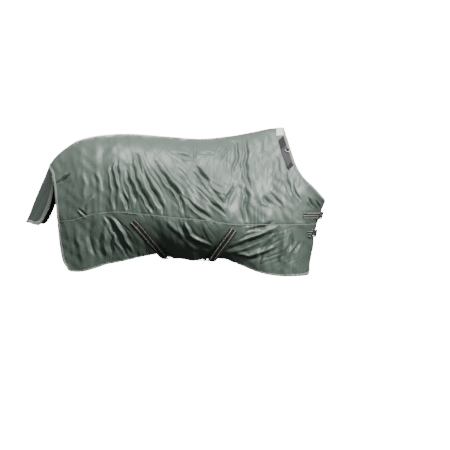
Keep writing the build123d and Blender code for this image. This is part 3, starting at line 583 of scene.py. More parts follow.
# ------------------------------------------------------------------ finishes
class Nodes:
    """A short way to build a shader tree."""

    def __init__(self, name: str) -> None:
        """Args: name: the material's name."""
        self.material = bpy.data.materials.new(name)
        self.material.use_nodes = True
        self.tree = self.material.node_tree
        self.shader = next(n for n in self.tree.nodes if n.type == "BSDF_PRINCIPLED")

    def add(self, kind: str, **values: object) -> bpy.types.Node:
        """Args: kind: node type; values: socket inputs by name. Returns: the new node."""
        node = self.tree.nodes.new(kind)
        for key, value in values.items():
            node.inputs[key].default_value = value
        return node

    def link(self, a: bpy.types.NodeSocket, b: bpy.types.NodeSocket) -> None:
        """Links an output to an input."""
        self.tree.links.new(a, b)

    def set(self, **values: object) -> None:
        """Sets the shader's own sockets, with underscores for spaces."""
        for key, value in values.items():
            self.shader.inputs[key.replace("_", " ")].default_value = value

    def maths(self, operation: str, a: object, b: object = 0.0) -> bpy.types.NodeSocket:
        """Args: operation; a, b: sockets or numbers. Returns: the result's socket."""
        node = self.tree.nodes.new("ShaderNodeMath")
        node.operation = operation
        for socket, value in zip(node.inputs, (a, b)):
            if isinstance(value, (int, float)):
                socket.default_value = value
            else:
                self.link(value, socket)
        return node.outputs[0]


@dataclass(frozen=True)
class ClothFinish:
    """Coated woven polyester: a fine rip-stop weave with a satin face and small creases."""

    name: str
    colour: tuple[float, float, float]
    deep: tuple[float, float, float]
    roughness: float = 0.4
    sheen: float = 0.25
    coat: float = 0.12
    crease: float = 0.35
    weave: float = 0.12

    def build(self) -> bpy.types.Material:
        """Returns: the material."""
        n = Nodes(self.name)
        place = n.add("ShaderNodeTexCoord")
        mottle = n.add("ShaderNodeTexNoise", Scale=9.0, Detail=6.0, Roughness=0.6)
        n.link(place.outputs["Object"], mottle.inputs["Vector"])
        mix = n.tree.nodes.new("ShaderNodeMix")
        mix.data_type = "RGBA"
        mix.inputs[6].default_value = (*self.deep, 1)
        mix.inputs[7].default_value = (*self.colour, 1)
        n.link(mottle.outputs["Fac"], mix.inputs[0])
        n.link(mix.outputs[2], n.shader.inputs["Base Color"])
        rough = n.add("ShaderNodeMapRange", **{"To Min": self.roughness - 0.05, "To Max": self.roughness + 0.08})
        n.link(mottle.outputs["Fac"], rough.inputs["Value"])
        n.link(rough.outputs["Result"], n.shader.inputs["Roughness"])
        n.set(Sheen_Weight=self.sheen, Sheen_Roughness=0.5, Coat_Weight=self.coat, Coat_Roughness=0.35,
              Specular_IOR_Level=0.5)
        stretch = n.add("ShaderNodeMapping", Scale=(34, 34, 13))
        n.link(place.outputs["Object"], stretch.inputs["Vector"])
        creases = n.add("ShaderNodeTexNoise", Scale=1.0, Detail=5.0, Roughness=0.55, Distortion=1.2)
        n.link(stretch.outputs["Vector"], creases.inputs["Vector"])
        ridged = n.maths("ABSOLUTE", n.maths("SUBTRACT", creases.outputs["Fac"], 0.5))
        first = n.add("ShaderNodeBump", Strength=self.crease, Distance=0.012)
        n.link(ridged, first.inputs["Height"])
        threads = []
        for direction in ("X", "Y"):
            wave = n.add("ShaderNodeTexWave", Scale=260.0, Distortion=0.4)
            wave.bands_direction = direction
            n.link(place.outputs["UV"], wave.inputs["Vector"])
            threads.append(wave.outputs["Fac"])
        second = n.add("ShaderNodeBump", Strength=self.weave, Distance=0.0006)
        n.link(n.maths("MAXIMUM", *threads), second.inputs["Height"])
        n.link(first.outputs["Normal"], second.inputs["Normal"])
        n.link(second.outputs["Normal"], n.shader.inputs["Normal"])
        return n.material


@dataclass(frozen=True)
class TapeFinish:
    """Woven tape or webbing: ribs along it, and pale stripes at given shares of its width."""

    name: str
    colour: tuple[float, float, float]
    stripe: tuple[float, float, float] = (0.25, 0.29, 0.2)
    stripes: tuple[float, ...] = ()
    stripe_half: float = 0.045
    roughness: float = 0.75

    def build(self) -> bpy.types.Material:
        """Returns: the material."""
        n = Nodes(self.name)
        place = n.add("ShaderNodeTexCoord")
        split = n.add("ShaderNodeSeparateXYZ")
        n.link(place.outputs["UV"], split.inputs[0])
        across, along = split.outputs[0], split.outputs[1]
        mask: object = 0.0
        for at in self.stripes:
            near = n.maths("LESS_THAN", n.maths("ABSOLUTE", n.maths("SUBTRACT", across, at)), self.stripe_half)
            mask = n.maths("MAXIMUM", near, mask)
        mix = n.tree.nodes.new("ShaderNodeMix")
        mix.data_type = "RGBA"
        mix.inputs[6].default_value = (*self.colour, 1)
        mix.inputs[7].default_value = (*self.stripe, 1)
        if isinstance(mask, float):
            mix.inputs[0].default_value = mask
        else:
            n.link(mask, mix.inputs[0])
        grain = n.add("ShaderNodeTexNoise", Scale=420.0, Detail=3.0)
        n.link(place.outputs["Object"], grain.inputs["Vector"])
        shade = n.tree.nodes.new("ShaderNodeMix")
        shade.data_type = "RGBA"
        shade.blend_type = "MULTIPLY"
        shade.inputs[0].default_value = 0.35
        n.link(mix.outputs[2], shade.inputs[6])
        n.link(grain.outputs["Color"], shade.inputs[7])
        n.link(shade.outputs[2], n.shader.inputs["Base Color"])
        n.set(Roughness=self.roughness, Sheen_Weight=0.15)
        ribs = n.maths("SINE", n.maths("MULTIPLY", along, 2600.0))
        cords = n.maths("SINE", n.maths("MULTIPLY", across, 120.0))
        bump = n.add("ShaderNodeBump", Strength=0.4, Distance=0.0006)
        n.link(n.maths("ADD", ribs, cords), bump.inputs["Height"])
        n.link(bump.outputs["Normal"], n.shader.inputs["Normal"])
        return n.material


@dataclass(frozen=True)
class MetalFinish:
    """Plated hardware with faint handling marks."""

    name: str
    colour: tuple[float, float, float]
    roughness: float = 0.24

    def build(self) -> bpy.types.Material:
        """Returns: the material."""
        n = Nodes(self.name)
        place = n.add("ShaderNodeTexCoord")
        marks = n.add("ShaderNodeTexNoise", Scale=160.0, Detail=6.0, Roughness=0.7)
        n.link(place.outputs["Object"], marks.inputs["Vector"])
        rough = n.add("ShaderNodeMapRange", **{"To Min": self.roughness - 0.1, "To Max": self.roughness + 0.16})
        n.link(marks.outputs["Fac"], rough.inputs["Value"])
        n.link(rough.outputs["Result"], n.shader.inputs["Roughness"])
        n.set(Base_Color=(*self.colour, 1), Metallic=1.0)
        bump = n.add("ShaderNodeBump", Strength=0.05, Distance=0.0005)
        n.link(marks.outputs["Fac"], bump.inputs["Height"])
        n.link(bump.outputs["Normal"], n.shader.inputs["Normal"])
        return n.material


# ------------------------------------------------------------------ sub-assemblies
@dataclass
class Panels:
    """The coated upper and drop panels and the linings of one side."""

    cloth: ClothSide
    outer: bpy.types.Material
    lining: bpy.types.Material
    thick: float = 0.0022
    lining_below: float = 0.0045
    lining_thick: float = 0.001
    edge_inset: float = 0.006
    lengthwise: int = 420
    upper_rows: int = 110
    drop_rows: int = 66

    def _grid(self, top: float, bottom: float, columns: int, rows: int, inset: float) -> tuple[Array, Array]:
        """Args: top, bottom: rows in v; columns, rows: samples; inset: metres in from the edges. Returns: u, v."""
        share = np.linspace(0, 1, rows)[None, :]
        v = top + (bottom - top) * share
        start, end = self.cloth.form.ends(v, inset)
        u = start + (end - start) * np.linspace(0, 1, columns)[:, None]
        v = np.broadcast_to(v, u.shape).copy()
        down = self.cloth.form.down(u, inset)
        if top == 0:
            neck = np.clip((u - self.cloth.form.barrel_share) / 0.01, 0, 1)
            v = v + neck * down * (1 - share)
        if bottom == 1:
            v = v - down * share
        return u, v

    def build(self) -> list[bpy.types.Object]:
        """Returns: the side's upper panel, drop panel and linings."""
        name = self.cloth.side.name.lower()
        made = []
        parts = (
            ("upper_panel", 0, 0.5, self.upper_rows, self.lengthwise, 0.0, self.thick, self.outer, Slot.CLOTH),
            ("drop_panel", 0.5, 1, self.drop_rows, self.lengthwise, 0.0, self.thick, self.outer, Slot.CLOTH),
            ("upper_lining", 0, 0.5, self.upper_rows // 2, self.lengthwise // 2, -self.lining_below, self.lining_thick,
             self.lining, Slot.LINING),
            ("drop_lining", 0.5, 1, self.drop_rows // 2, self.lengthwise // 2, -self.lining_below, self.lining_thick,
             self.lining, Slot.LINING),
        )
        for part, top, bottom, rows, columns, lift, thick, material, slot in parts:
            u, v = self._grid(top, bottom, columns, rows, self.edge_inset)
            outside, _ = self.cloth.surface(u, v, lift)
            inside, _ = self.cloth.surface(u, v, lift - thick)
            points, faces = shell_mesh(outside, inside)
            uv = np.stack([u * 1.9, v * 0.95], axis=-1).reshape(-1, 2)
            obj = new_mesh(f"{name}_{part}_cloth", points, faces, np.concatenate([uv, uv]), material)
            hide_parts(f"{name}_{part}")
            made.append(obj)
        return made


@dataclass
class Edges:
    """The folded bindings round one side's edges, the piping on its seam, and their stitching lines."""

    cloth: ClothSide
    binding: bpy.types.Material
    piping: bpy.types.Material
    width: float = 0.014
    half: float = 0.0034
    turn: float = 0.003
    stitches: list[Array] = field(default_factory=list)

    def _band(self, name: str, edge: tuple[Array, Array], inner: tuple[Array, Array]) -> None:
        """Args: name; edge, inner: places of the outer and inner lines. Makes the folded tape between them."""
        a, normal = self.cloth.surface(*edge, -0.0024)
        b, inner_normal = self.cloth.surface(*inner, -0.0024)
        out = (a - b) / np.linalg.norm(a - b, axis=1, keepdims=True)
        run = np.concatenate([[0], np.cumsum(np.linalg.norm(np.diff(a, axis=0), axis=1))])
        pucker = 0.0006 * np.sin(run * 420) + 0.0008 * np.sin(run * 133 + 1)
        angles = np.linspace(-np.pi / 2, np.pi / 2, 9)
        ring = [b + inner_normal * (self.half * 0.85) * s for s in (-1,)]
        for angle in angles:
            over = np.sin(angle) * self.half + pucker[:, None] * 0.6
            ring.append(a + out * np.cos(angle) * self.turn + normal * over)
        ring.append(b * 0.5 + a * 0.5 + normal * (self.half * 1.05))
        ring.append(b + inner_normal * self.half)
        rings = np.stack(ring, axis=1)
        points, faces = tube_mesh(rings)
        uv = np.stack(np.broadcast_arrays(np.linspace(0, 1, rings.shape[1])[None, :], run[:, None]), -1).reshape(-1, 2)
        obj = new_mesh(f"{name}_tape", points, faces, uv, self.binding)
        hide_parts(name)
        self.stitches.append(b * 0.85 + a * 0.15 + inner_normal * (self.half * 1.02))

    def build(self) -> None:
        """Makes the four bindings and the piping."""
        form, name = self.cloth.form, self.cloth.side.name.lower()
        u = np.linspace(form.barrel_share + 0.001, 0.9995, 140)
        zero = np.zeros(u.shape)
        self._band(f"{name}_neck_binding", (u, zero), form.below_neck(u, self.width))
        u = np.linspace(0.004, 0.996, 420)
        self._band(f"{name}_hem_binding", (u, 0 * u + 1), (u, 1 - form.down(u, self.width)))
        v = np.linspace(0.004, 0.999, 200)
        start, end = form.ends(v, self.width)
        self._band(f"{name}_rear_binding", (0 * v, v), (start, v))
        self._band(f"{name}_front_binding", (0 * v + 1, v), (end, v))
        u = np.linspace(0.006, 0.994, 520)
        line, normal = self.cloth.surface(u, 0 * u + 0.5, 0.0006)
        rings, uv = strap_rings(line, normal, 0.007, 0.0026)
        points, faces = tube_mesh(rings)
        obj = new_mesh(f"{name}_seam_piping_cord", points, faces, uv, self.piping)
        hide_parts(f"{name}_seam_piping")
        for shift in (0.0068, -0.0072):
            line, _ = self.cloth.surface(u, 0 * u + 0.5 - form.down(u, shift), 0.0004)
            self.stitches.append(line)


@dataclass
class WithersTrim:
    """The white patch over the spine, the label tape beside the neck and the ring tabs."""

    sides: tuple[ClothSide, ClothSide]
    white: bpy.types.Material
    label: bpy.types.Material
    black: bpy.types.Material

    def _patch(self, cloth: ClothSide, name: str, u: Array, v: Array, material: bpy.types.Material,
               node: str, lift: float = 0.0014) -> None:
        """Makes one flat patch on the cloth over a grid of places.

        Args: cloth; name; u, v: the grid; material; node: what it stands for; lift: metres off the cloth.
        """
        outer, _ = cloth.surface(u, v, lift)
        inner, _ = cloth.surface(u, v, lift - 0.0014)
        points, faces = shell_mesh(outer, inner)
        m, n = u.shape
        uv = np.stack(np.meshgrid(np.linspace(0, 0.1, m), np.linspace(0, 1, n), indexing="ij")[::-1], -1).reshape(-1, 2)
        obj = new_mesh(name, points, faces, np.concatenate([uv, uv]), material)
        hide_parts(node)

    def build(self) -> None:
        """Makes the patches and tapes."""
        form = self.sides[0].form
        for cloth in self.sides:
            name = cloth.side.name.lower()
            u, v = np.meshgrid(np.linspace(0.7355, 0.7595, 24), np.linspace(0.0, 0.058, 18), indexing="ij")
            self._patch(cloth, f"{name}_withers_patch_cloth", u, v, self.white, f"{name}_withers_patch")
        for node, first, last, material, slot in (
            ("neck_label_tab", 0.778, 0.800, self.black, Slot.BLACK),
            ("neck_label_tape", 0.8002, 0.850, self.label, Slot.LABEL),
            ("neck_label_end", 0.8502, 0.861, self.black, Slot.BLACK),
        ):
            edge = np.linspace(first, last, 40)
            rows = [form.below_neck(edge, 0.015 + 0.034 * share) for share in np.linspace(0, 1, 14)]
            u, v = (np.stack([row[k] for row in rows], axis=1) for k in (0, 1))
            self._patch(self.sides[0], f"{node}_cloth", u, v, material, node)


@dataclass
class Webbing:
    """The chest straps, the surcingles and their short straps, and the loops that hold the metalwork."""

    form: Form
    sides: tuple[ClothSide, ClothSide]
    striped: bpy.types.Material
    chest_striped: bpy.types.Material
    black: bpy.types.Material
    thick: float = 0.0022
    chest_width: float = 0.038
    belly_width: float = 0.05
    stitches: list[Array] = field(default_factory=list)

    def _strap(self, node: str, line: Array, width: float, material: bpy.types.Material) -> None:
        """Args: node; line: centre points and facings; width; material. Makes the strap that stands for the node."""
        rings, uv = strap_rings(line[:, :3], line[:, 3:], width, self.thick)
        points, faces = tube_mesh(rings)
        obj = new_mesh(f"{node}_webbing", points, faces, uv, material)
        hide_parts(node)

    def _box_stitch(self, line: Array, width: float, first: int, last: int) -> None:
        """Args: line: strap; width; first, last: samples. Adds a sewn box with a cross between the two."""
        part = line[first:last]
        side = np.cross(part[:, 3:], np.gradient(part[:, :3], axis=0))
        side /= np.linalg.norm(side, axis=1, keepdims=True)
        top = part[:, :3] + part[:, 3:] * (self.thick + 0.0002)
        low, high = top - side * width * 0.42, top + side * width * 0.42
        share = np.linspace(0, 1, len(part))[:, None]
        self.stitches += [low, high, low * (1 - share) + high * share, high * (1 - share) + low * share]

    def chest_normal(self, bearing: float, height: float) -> Array:
        """Args: bearing: degrees; height: mm. Returns: the way the chest faces there."""
        chest = self.form.chest
        normal = np.cross(chest(bearing - 1, height) - chest(bearing + 1, height),
                          chest(bearing, height + 5) - chest(bearing, height - 5))
        return normal / np.linalg.norm(normal)

    def _on_chest(self, bearing: float, height: float, lift: float) -> Array:
        """Args: bearing: degrees; height, lift: mm. Returns: a point off the chest, in metres."""
        return (self.form.chest(bearing, height) + lift * self.chest_normal(bearing, height)) * MM

    def _loop(self, node: str, at: Array, axes: Array, length: float, inner: float, width: float) -> None:
        """Args: node; at: centre; axes: x, y and z of the loop's frame; sizes. Makes a loop of webbing round a bar."""
        turn = np.linspace(0, 2 * np.pi, 48, endpoint=False)
        rings = []
        for grow, reverse in ((self.thick, False), (0.0, True)):
            half, tall = length / 2 + grow, inner / 2 + grow
            power = 0.45
            x = half * np.sign(np.cos(turn)) * np.abs(np.cos(turn)) ** power
            z = tall * np.sign(np.sin(turn)) * np.abs(np.sin(turn)) ** power
            for y in ((-width / 2, width / 2) if not reverse else (width / 2, -width / 2)):
                rings.append(at + x[:, None] * axes[0] + z[:, None] * axes[2] + y * axes[1])
        grid = np.stack(rings)
        m, n = grid.shape[:2]
        ids = np.arange(m * n).reshape(m, n)
        ahead, turned = np.roll(ids, -1, axis=0), np.roll(ids, -1, axis=1)
        both = np.roll(ahead, -1, axis=1)
        faces = [tuple(f) for f in np.stack([ids, ahead, both, turned], -1).reshape(-1, 4).tolist()]
        obj = new_mesh(f"{node}_webbing", grid.reshape(-1, 3), faces, None, self.black)
        for polygon in obj.data.polygons:
            polygon.use_smooth = False
        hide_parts(node)

    def chest(self, name: str, height: float, bearing: float, start: float) -> None:
        """Args: name, height (mm), bearing and start (degrees). Makes one chest closure's straps and loops."""
        normal = self.chest_normal(bearing, height)
        ahead = self.form.chest(bearing - 2, height) - self.form.chest(bearing + 2, height)
        ahead = ahead - normal * np.dot(ahead, normal)
        ahead /= np.linalg.norm(ahead)
        axes = np.stack([ahead, np.cross(normal, ahead), normal])
        centre = self._on_chest(bearing, height, 11.5)

        def local(x: float, z: float) -> Array:
            """Args: x, z: mm in the closure's frame. Returns: the point in metres."""
            return centre + (x * axes[0] + z * axes[2]) * MM

        self._loop(f"{name}_ring_loop", local(-30, 0), axes, 0.0054, 0.005, self.chest_width)
        self._loop(f"{name}_swivel_loop", local(43.4, 0), axes, 0.0056, 0.005, self.chest_width)
        bearings = np.linspace(start, bearing + 16.5, 9)
        sewn = [[*self._on_chest(b, height, 1.6), *self.chest_normal(b, height)] for b in bearings]
        line = eased([*sewn, [*local(-34.5, -1.1), *normal]], 60, 5)
        self._strap(f"{name}_ring_strap", line, self.chest_width, self.chest_striped)
        self._box_stitch(line, self.chest_width, 3, 22)
        touch = bearing - 36
        bearings = np.linspace(touch, -58, 14)
        sewn = [[*self._on_chest(b, height, 5.0), *self.chest_normal(b, height)] for b in bearings]
        line = eased([[*local(48.6, -1.1), *self.chest_normal(touch, height)], *sewn], 90, 4)
        self._strap(f"{name}_hook_strap", line, self.chest_width, self.chest_striped)
        self._box_stitch(line, self.chest_width, 62, 86)

    def _down_side(self, start: tuple[float, float], end: tuple[float, float], low: float) -> tuple[Array, Array]:
        """Args: start, end: side-view places; low: first lift in mm. Returns: points and facings on the right side."""
        steps = 12
        places = np.array([self.form.place(start[0] + (end[0] - start[0]) * t, start[1] + (end[1] - start[1]) * t)
                           for t in np.linspace(0, 1, steps)])
        for _ in range(4):
            places[1:-1] = (places[:-2] + 2 * places[1:-1] + places[2:]) / 4
        point, normal = self.form.sample(places[:, 0], places[:, 1])
        lift = low + (19.0 - low) * np.linspace(0, 1, steps) ** 3
        return point + normal * lift[:, None] * MM, normal

    def surcingles(self) -> None:
        """Makes the two crossed straps and the short straps on the left."""
        rear, front = ((-0.824, -0.548), (-0.655, -0.744)), ((-0.232, -0.6), (-0.352, -0.758))
        flip = np.array([1, -1, 1])
        below = np.array([0, 0, -1.0])
        for name, near, far, drop in (("rear", rear, front, -0.777), ("front", front, rear, -0.787)):
            down, facing = self._down_side(*near, 2.2)
            high, up_facing = self._down_side(*far, 6.5)
            up, up_facing = (high * flip)[::-1], (up_facing * flip)[::-1]
            turn_in = down[-1] + (down[-1] - down[-2]) * 0.9
            turn_out = up[0] + (up[0] - up[1]) * 0.9
            flat = [turn_in + (turn_out - turn_in) * t for t in (0.34, 0.5, 0.66)]
            points = [*down, turn_in, *[np.array([p[0], p[1], drop]) for p in flat], turn_out, *up[:4]]
            outs = [*facing, (facing[-1] + below) / 1.6, below, below, below, (up_facing[0] + below) / 1.6,
                    *up_facing[:4]]
            line = eased(np.hstack([points, outs]), 240, 24)
            self._strap(f"{name}_surcingle", line, self.belly_width, self.striped)
            self._box_stitch(line, self.belly_width, 4, 22)
            climb = up[6] - up[3]
            normal = up_facing[3]
            climb = climb - normal * np.dot(climb, normal)
            climb /= np.linalg.norm(climb)
            short = [[*(up[3] + climb * 0.054), *normal], *[[*p, *n] for p, n in zip(up[7:], up_facing[7:])]]
            line = eased(short, 60, 5)
            self._strap(f"{name}_keeper_strap", line, self.belly_width, self.striped)
            self._box_stitch(line, self.belly_width, 38, 57)

    def build(self) -> None:
        """Makes all the webbing."""
        self.chest("upper", -520, 19, 62)
        self.chest("lower", -628, 34, 52)
        self.surcingles()
        neck_place = self.form.place(0.089, -0.14)
        for side, name in ((1, "right"), (-1, "left")):
            low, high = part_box(f"{name}_neck_ring_tab")
            centre = (np.array(low) + np.array(high)) / 2
            _, normal = self.form.sample(np.array([neck_place[0]]), np.array([neck_place[1]]))
            normal = normal[0] * np.array([1, side, 1])
            hang = np.array([0, 0, -1.0]) + normal * normal[2]
            hang /= np.linalg.norm(hang)
            axes = np.stack([hang, np.cross(normal, hang), normal])
            self._loop(f"{name}_neck_ring_tab", centre, axes, 0.005, 0.005, 0.02)


@dataclass
class TailFlap:
    """The flap over the tail: a curved sheet with its own binding, sewn to the rear edge."""

    outer: bpy.types.Material
    lining: bpy.types.Material
    binding: bpy.types.Material
    form: Form
    gap: float = 0.0052
    top_half: float = 0.150

    def point(self, w: Array, s: Array, lift: float = 0.0) -> Array:
        """Args: w: -1 at the right edge to 1; s: seam to bottom; lift: metres. Returns: points of the flap."""
        edge, _ = self.form.sample(np.zeros(200), np.linspace(0, 0.6, 200))
        across = np.maximum.accumulate(np.abs(edge[:, 1]))
        rear, height = (np.interp(self.top_half * np.abs(w), across, edge[:, k]) for k in (0, 2))
        top = np.stack([rear - self.gap, self.top_half * w, height], -1)
        bottom = np.stack([-1.490 + 0.092 * w * w, 0.112 * w, -0.560 - 0.028 * w * w], -1)
        share = s ** (1 + 1.1 * w * w)
        mix = np.stack([share, s, s], -1)
        point = top + (bottom - top) * mix
        relief = 0.004 * np.sin(9 * w + 3 * s + 1) * s + 0.003 * np.sin(17 * w - 6 * s) * s
        relief += 0.005 * np.exp(-(((w + 0.45 - 0.25 * s) / 0.09) ** 2)) * np.sin(np.pi * s)
        relief -= 0.006 * np.exp(-(((w - 0.38 + 0.2 * s) / 0.08) ** 2)) * np.sin(np.pi * s)
        relief += 0.0014 * np.sin(70 * w) * np.exp(-s / 0.06)
        out = np.stack([-0.93 + 0 * w, 0.25 * w, -0.2 + 0 * w], -1)
        return point + out * (relief + lift)[..., None]

    def _finish(self, obj: bpy.types.Object) -> None:
        """Bakes the object's placement into its mesh."""
        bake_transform(obj)

    def build(self) -> None:
        """Makes the sheet, its lining and its binding."""
        w, s = np.meshgrid(np.linspace(-0.97, 0.97, 120), np.linspace(-0.012, 0.985, 140), indexing="ij")
        s = np.maximum(s, 0)
        s = s + np.linspace(0, 1e-4, s.shape[1])[None, :]
        for name, lift, thick, material, slot, node, step in (
            ("tail_flap_cloth", 0.0, 0.0022, self.outer, Slot.CLOTH, "tail_flap", 1),
            ("tail_flap_lining_cloth", -0.0038, 0.001, self.lining, Slot.LINING, "tail_flap_lining", 2),
        ):
            a, b = w[::step, ::step], s[::step, ::step]
            points, faces = shell_mesh(self.point(a, b, lift), self.point(a, b, lift - thick))
            uv = np.stack([a * 0.15, b * 0.38], -1).reshape(-1, 2)
            obj = new_mesh(name, points, faces, np.concatenate([uv, uv]), material, "")
            self._finish(obj)
            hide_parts(node)
        t = np.linspace(0, 1, 200)
        edge_w = np.interp(t, [0, 0.36, 0.42, 0.58, 0.64, 1], [-1, -1, -0.86, 0.86, 1, 1])
        edge_s = np.interp(t, [0, 0.36, 0.42, 0.58, 0.64, 1], [0, 0.94, 1, 1, 0.94, 0])
        for _ in range(10):
            edge_w[1:-1] = (edge_w[:-2] + 2 * edge_w[1:-1] + edge_w[2:]) / 4
            edge_s[1:-1] = (edge_s[:-2] + 2 * edge_s[1:-1] + edge_s[2:]) / 4
        a = self.point(edge_w, edge_s, -0.002)
        b = self.point(edge_w * 0.9, 0.955 * edge_s, -0.002)
        out = (a - b) / np.linalg.norm(a - b, axis=1, keepdims=True)
        normal = np.cross(np.gradient(a, axis=0), out)
        normal /= np.linalg.norm(normal, axis=1, keepdims=True)
        normal *= np.sign(-normal[:, :1])
        ring = [b - normal * 0.003]
        ring += [a + out * (np.cos(k) * 0.003) + normal * (np.sin(k) * 0.0034) for k in np.linspace(-1.57, 1.57, 9)]
        ring.append(b + normal * 0.0034)
        rings = np.stack(ring, axis=1)
        points, faces = tube_mesh(rings)
        run = np.concatenate([[0], np.cumsum(np.linalg.norm(np.diff(a, axis=0), axis=1))])
        uv = np.stack(np.broadcast_arrays(np.linspace(0, 1, rings.shape[1])[None, :], run[:, None]), -1).reshape(-1, 2)
        obj = new_mesh("tail_flap_binding_tape", points, faces, uv, self.binding, "")
        self._finish(obj)
        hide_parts("tail_flap_binding")


@dataclass
class Stitching:
    """Rows of thread stitches along lines, made by Geometry Nodes and turned into one plain mesh."""

    name: str
    lines: list[Array]
    material: bpy.types.Material
    slot: Slot
    pitch: float = 0.0042
    length: float = 0.0027
    radius: float = 0.00035

    def _tree(self) -> bpy.types.NodeTree:
        """Returns: a tree that sets a short thread at even steps along the input curves."""
        tree = bpy.data.node_groups.new(f"{self.name}_tree", "GeometryNodeTree")
        tree.interface.new_socket("Geometry", in_out="INPUT", socket_type="NodeSocketGeometry")
        for label in ("Pitch", "Length", "Radius"):
            tree.interface.new_socket(label, in_out="INPUT", socket_type="NodeSocketFloat")
        tree.interface.new_socket("Geometry", in_out="OUTPUT", socket_type="NodeSocketGeometry")
        new, link = tree.nodes.new, tree.links.new
        start, end = new("NodeGroupInput"), new("NodeGroupOutput")
        points = new("GeometryNodeCurveToPoints")
        points.mode = "LENGTH"
        link(start.outputs["Geometry"], points.inputs["Curve"])
        link(start.outputs["Pitch"], points.inputs["Length"])
        thread = new("GeometryNodeMeshCylinder")
        thread.inputs["Vertices"].default_value = 5
        link(start.outputs["Radius"], thread.inputs["Radius"])
        link(start.outputs["Length"], thread.inputs["Depth"])
        place = new("GeometryNodeInstanceOnPoints")
        link(points.outputs["Points"], place.inputs["Points"])
        link(thread.outputs["Mesh"], place.inputs["Instance"])
        align = new("FunctionNodeAlignRotationToVector")
        align.axis = "Z"
        link(points.outputs["Tangent"], align.inputs["Vector"])
        link(align.outputs["Rotation"], place.inputs["Rotation"])
        real, paint = new("GeometryNodeRealizeInstances"), new("GeometryNodeSetMaterial")
        paint.inputs["Material"].default_value = self.material
        link(place.outputs["Instances"], real.inputs["Geometry"])
        link(real.outputs["Geometry"], paint.inputs["Geometry"])
        link(paint.outputs["Geometry"], end.inputs["Geometry"])
        return tree

    def build(self) -> bpy.types.Object:
        """Returns: the stitches as one mesh that rides on the rug."""
        curve = bpy.data.curves.new(f"{self.name}_lines", "CURVE")
        curve.dimensions = "3D"
        for line in self.lines:
            spline = curve.splines.new("POLY")
            spline.points.add(len(line) - 1)
            spline.points.foreach_set("co", np.hstack([line, np.ones((len(line), 1))]).ravel())
        holder = bpy.data.objects.new(f"{self.name}_lines", curve)
        bpy.context.scene.collection.objects.link(holder)
        tree = self._tree()
        modifier = holder.modifiers.new("stitches", "NODES")
        modifier.node_group = tree
        sizes = {"Pitch": self.pitch, "Length": self.length, "Radius": self.radius}
        for item in tree.interface.items_tree:
            if item.in_out == "INPUT" and item.name in sizes:
                modifier[item.identifier] = sizes[item.name]
        graph = bpy.context.evaluated_depsgraph_get()
        mesh = bpy.data.meshes.new_from_object(holder.evaluated_get(graph))
        mesh.name = self.name
        bpy.data.objects.remove(holder)
        bpy.data.curves.remove(curve)
        obj = bpy.data.objects.new(self.name, mesh)
        bpy.context.scene.collection.objects.link(obj)
        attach(obj, "rug")
        return obj


@dataclass
class Hardware:
    """The plated fittings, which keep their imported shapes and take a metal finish."""

    steel: bpy.types.Material
    brass: bpy.types.Material

    def build(self) -> int:
        """Returns: how many fittings were dressed."""
        slots = {part["node"]: part["material_slot"] for part in frame["record"]["subparts"]}
        count = 0
        for node, slot in slots.items():
            if slot not in (Slot.STEEL.value, Slot.BRASS.value):
                continue
            mesh = frame["nodes"][node].data
            mesh.materials.clear()
            mesh.materials.append(self.steel if slot == Slot.STEEL.value else self.brass)
            count += 1
        return count


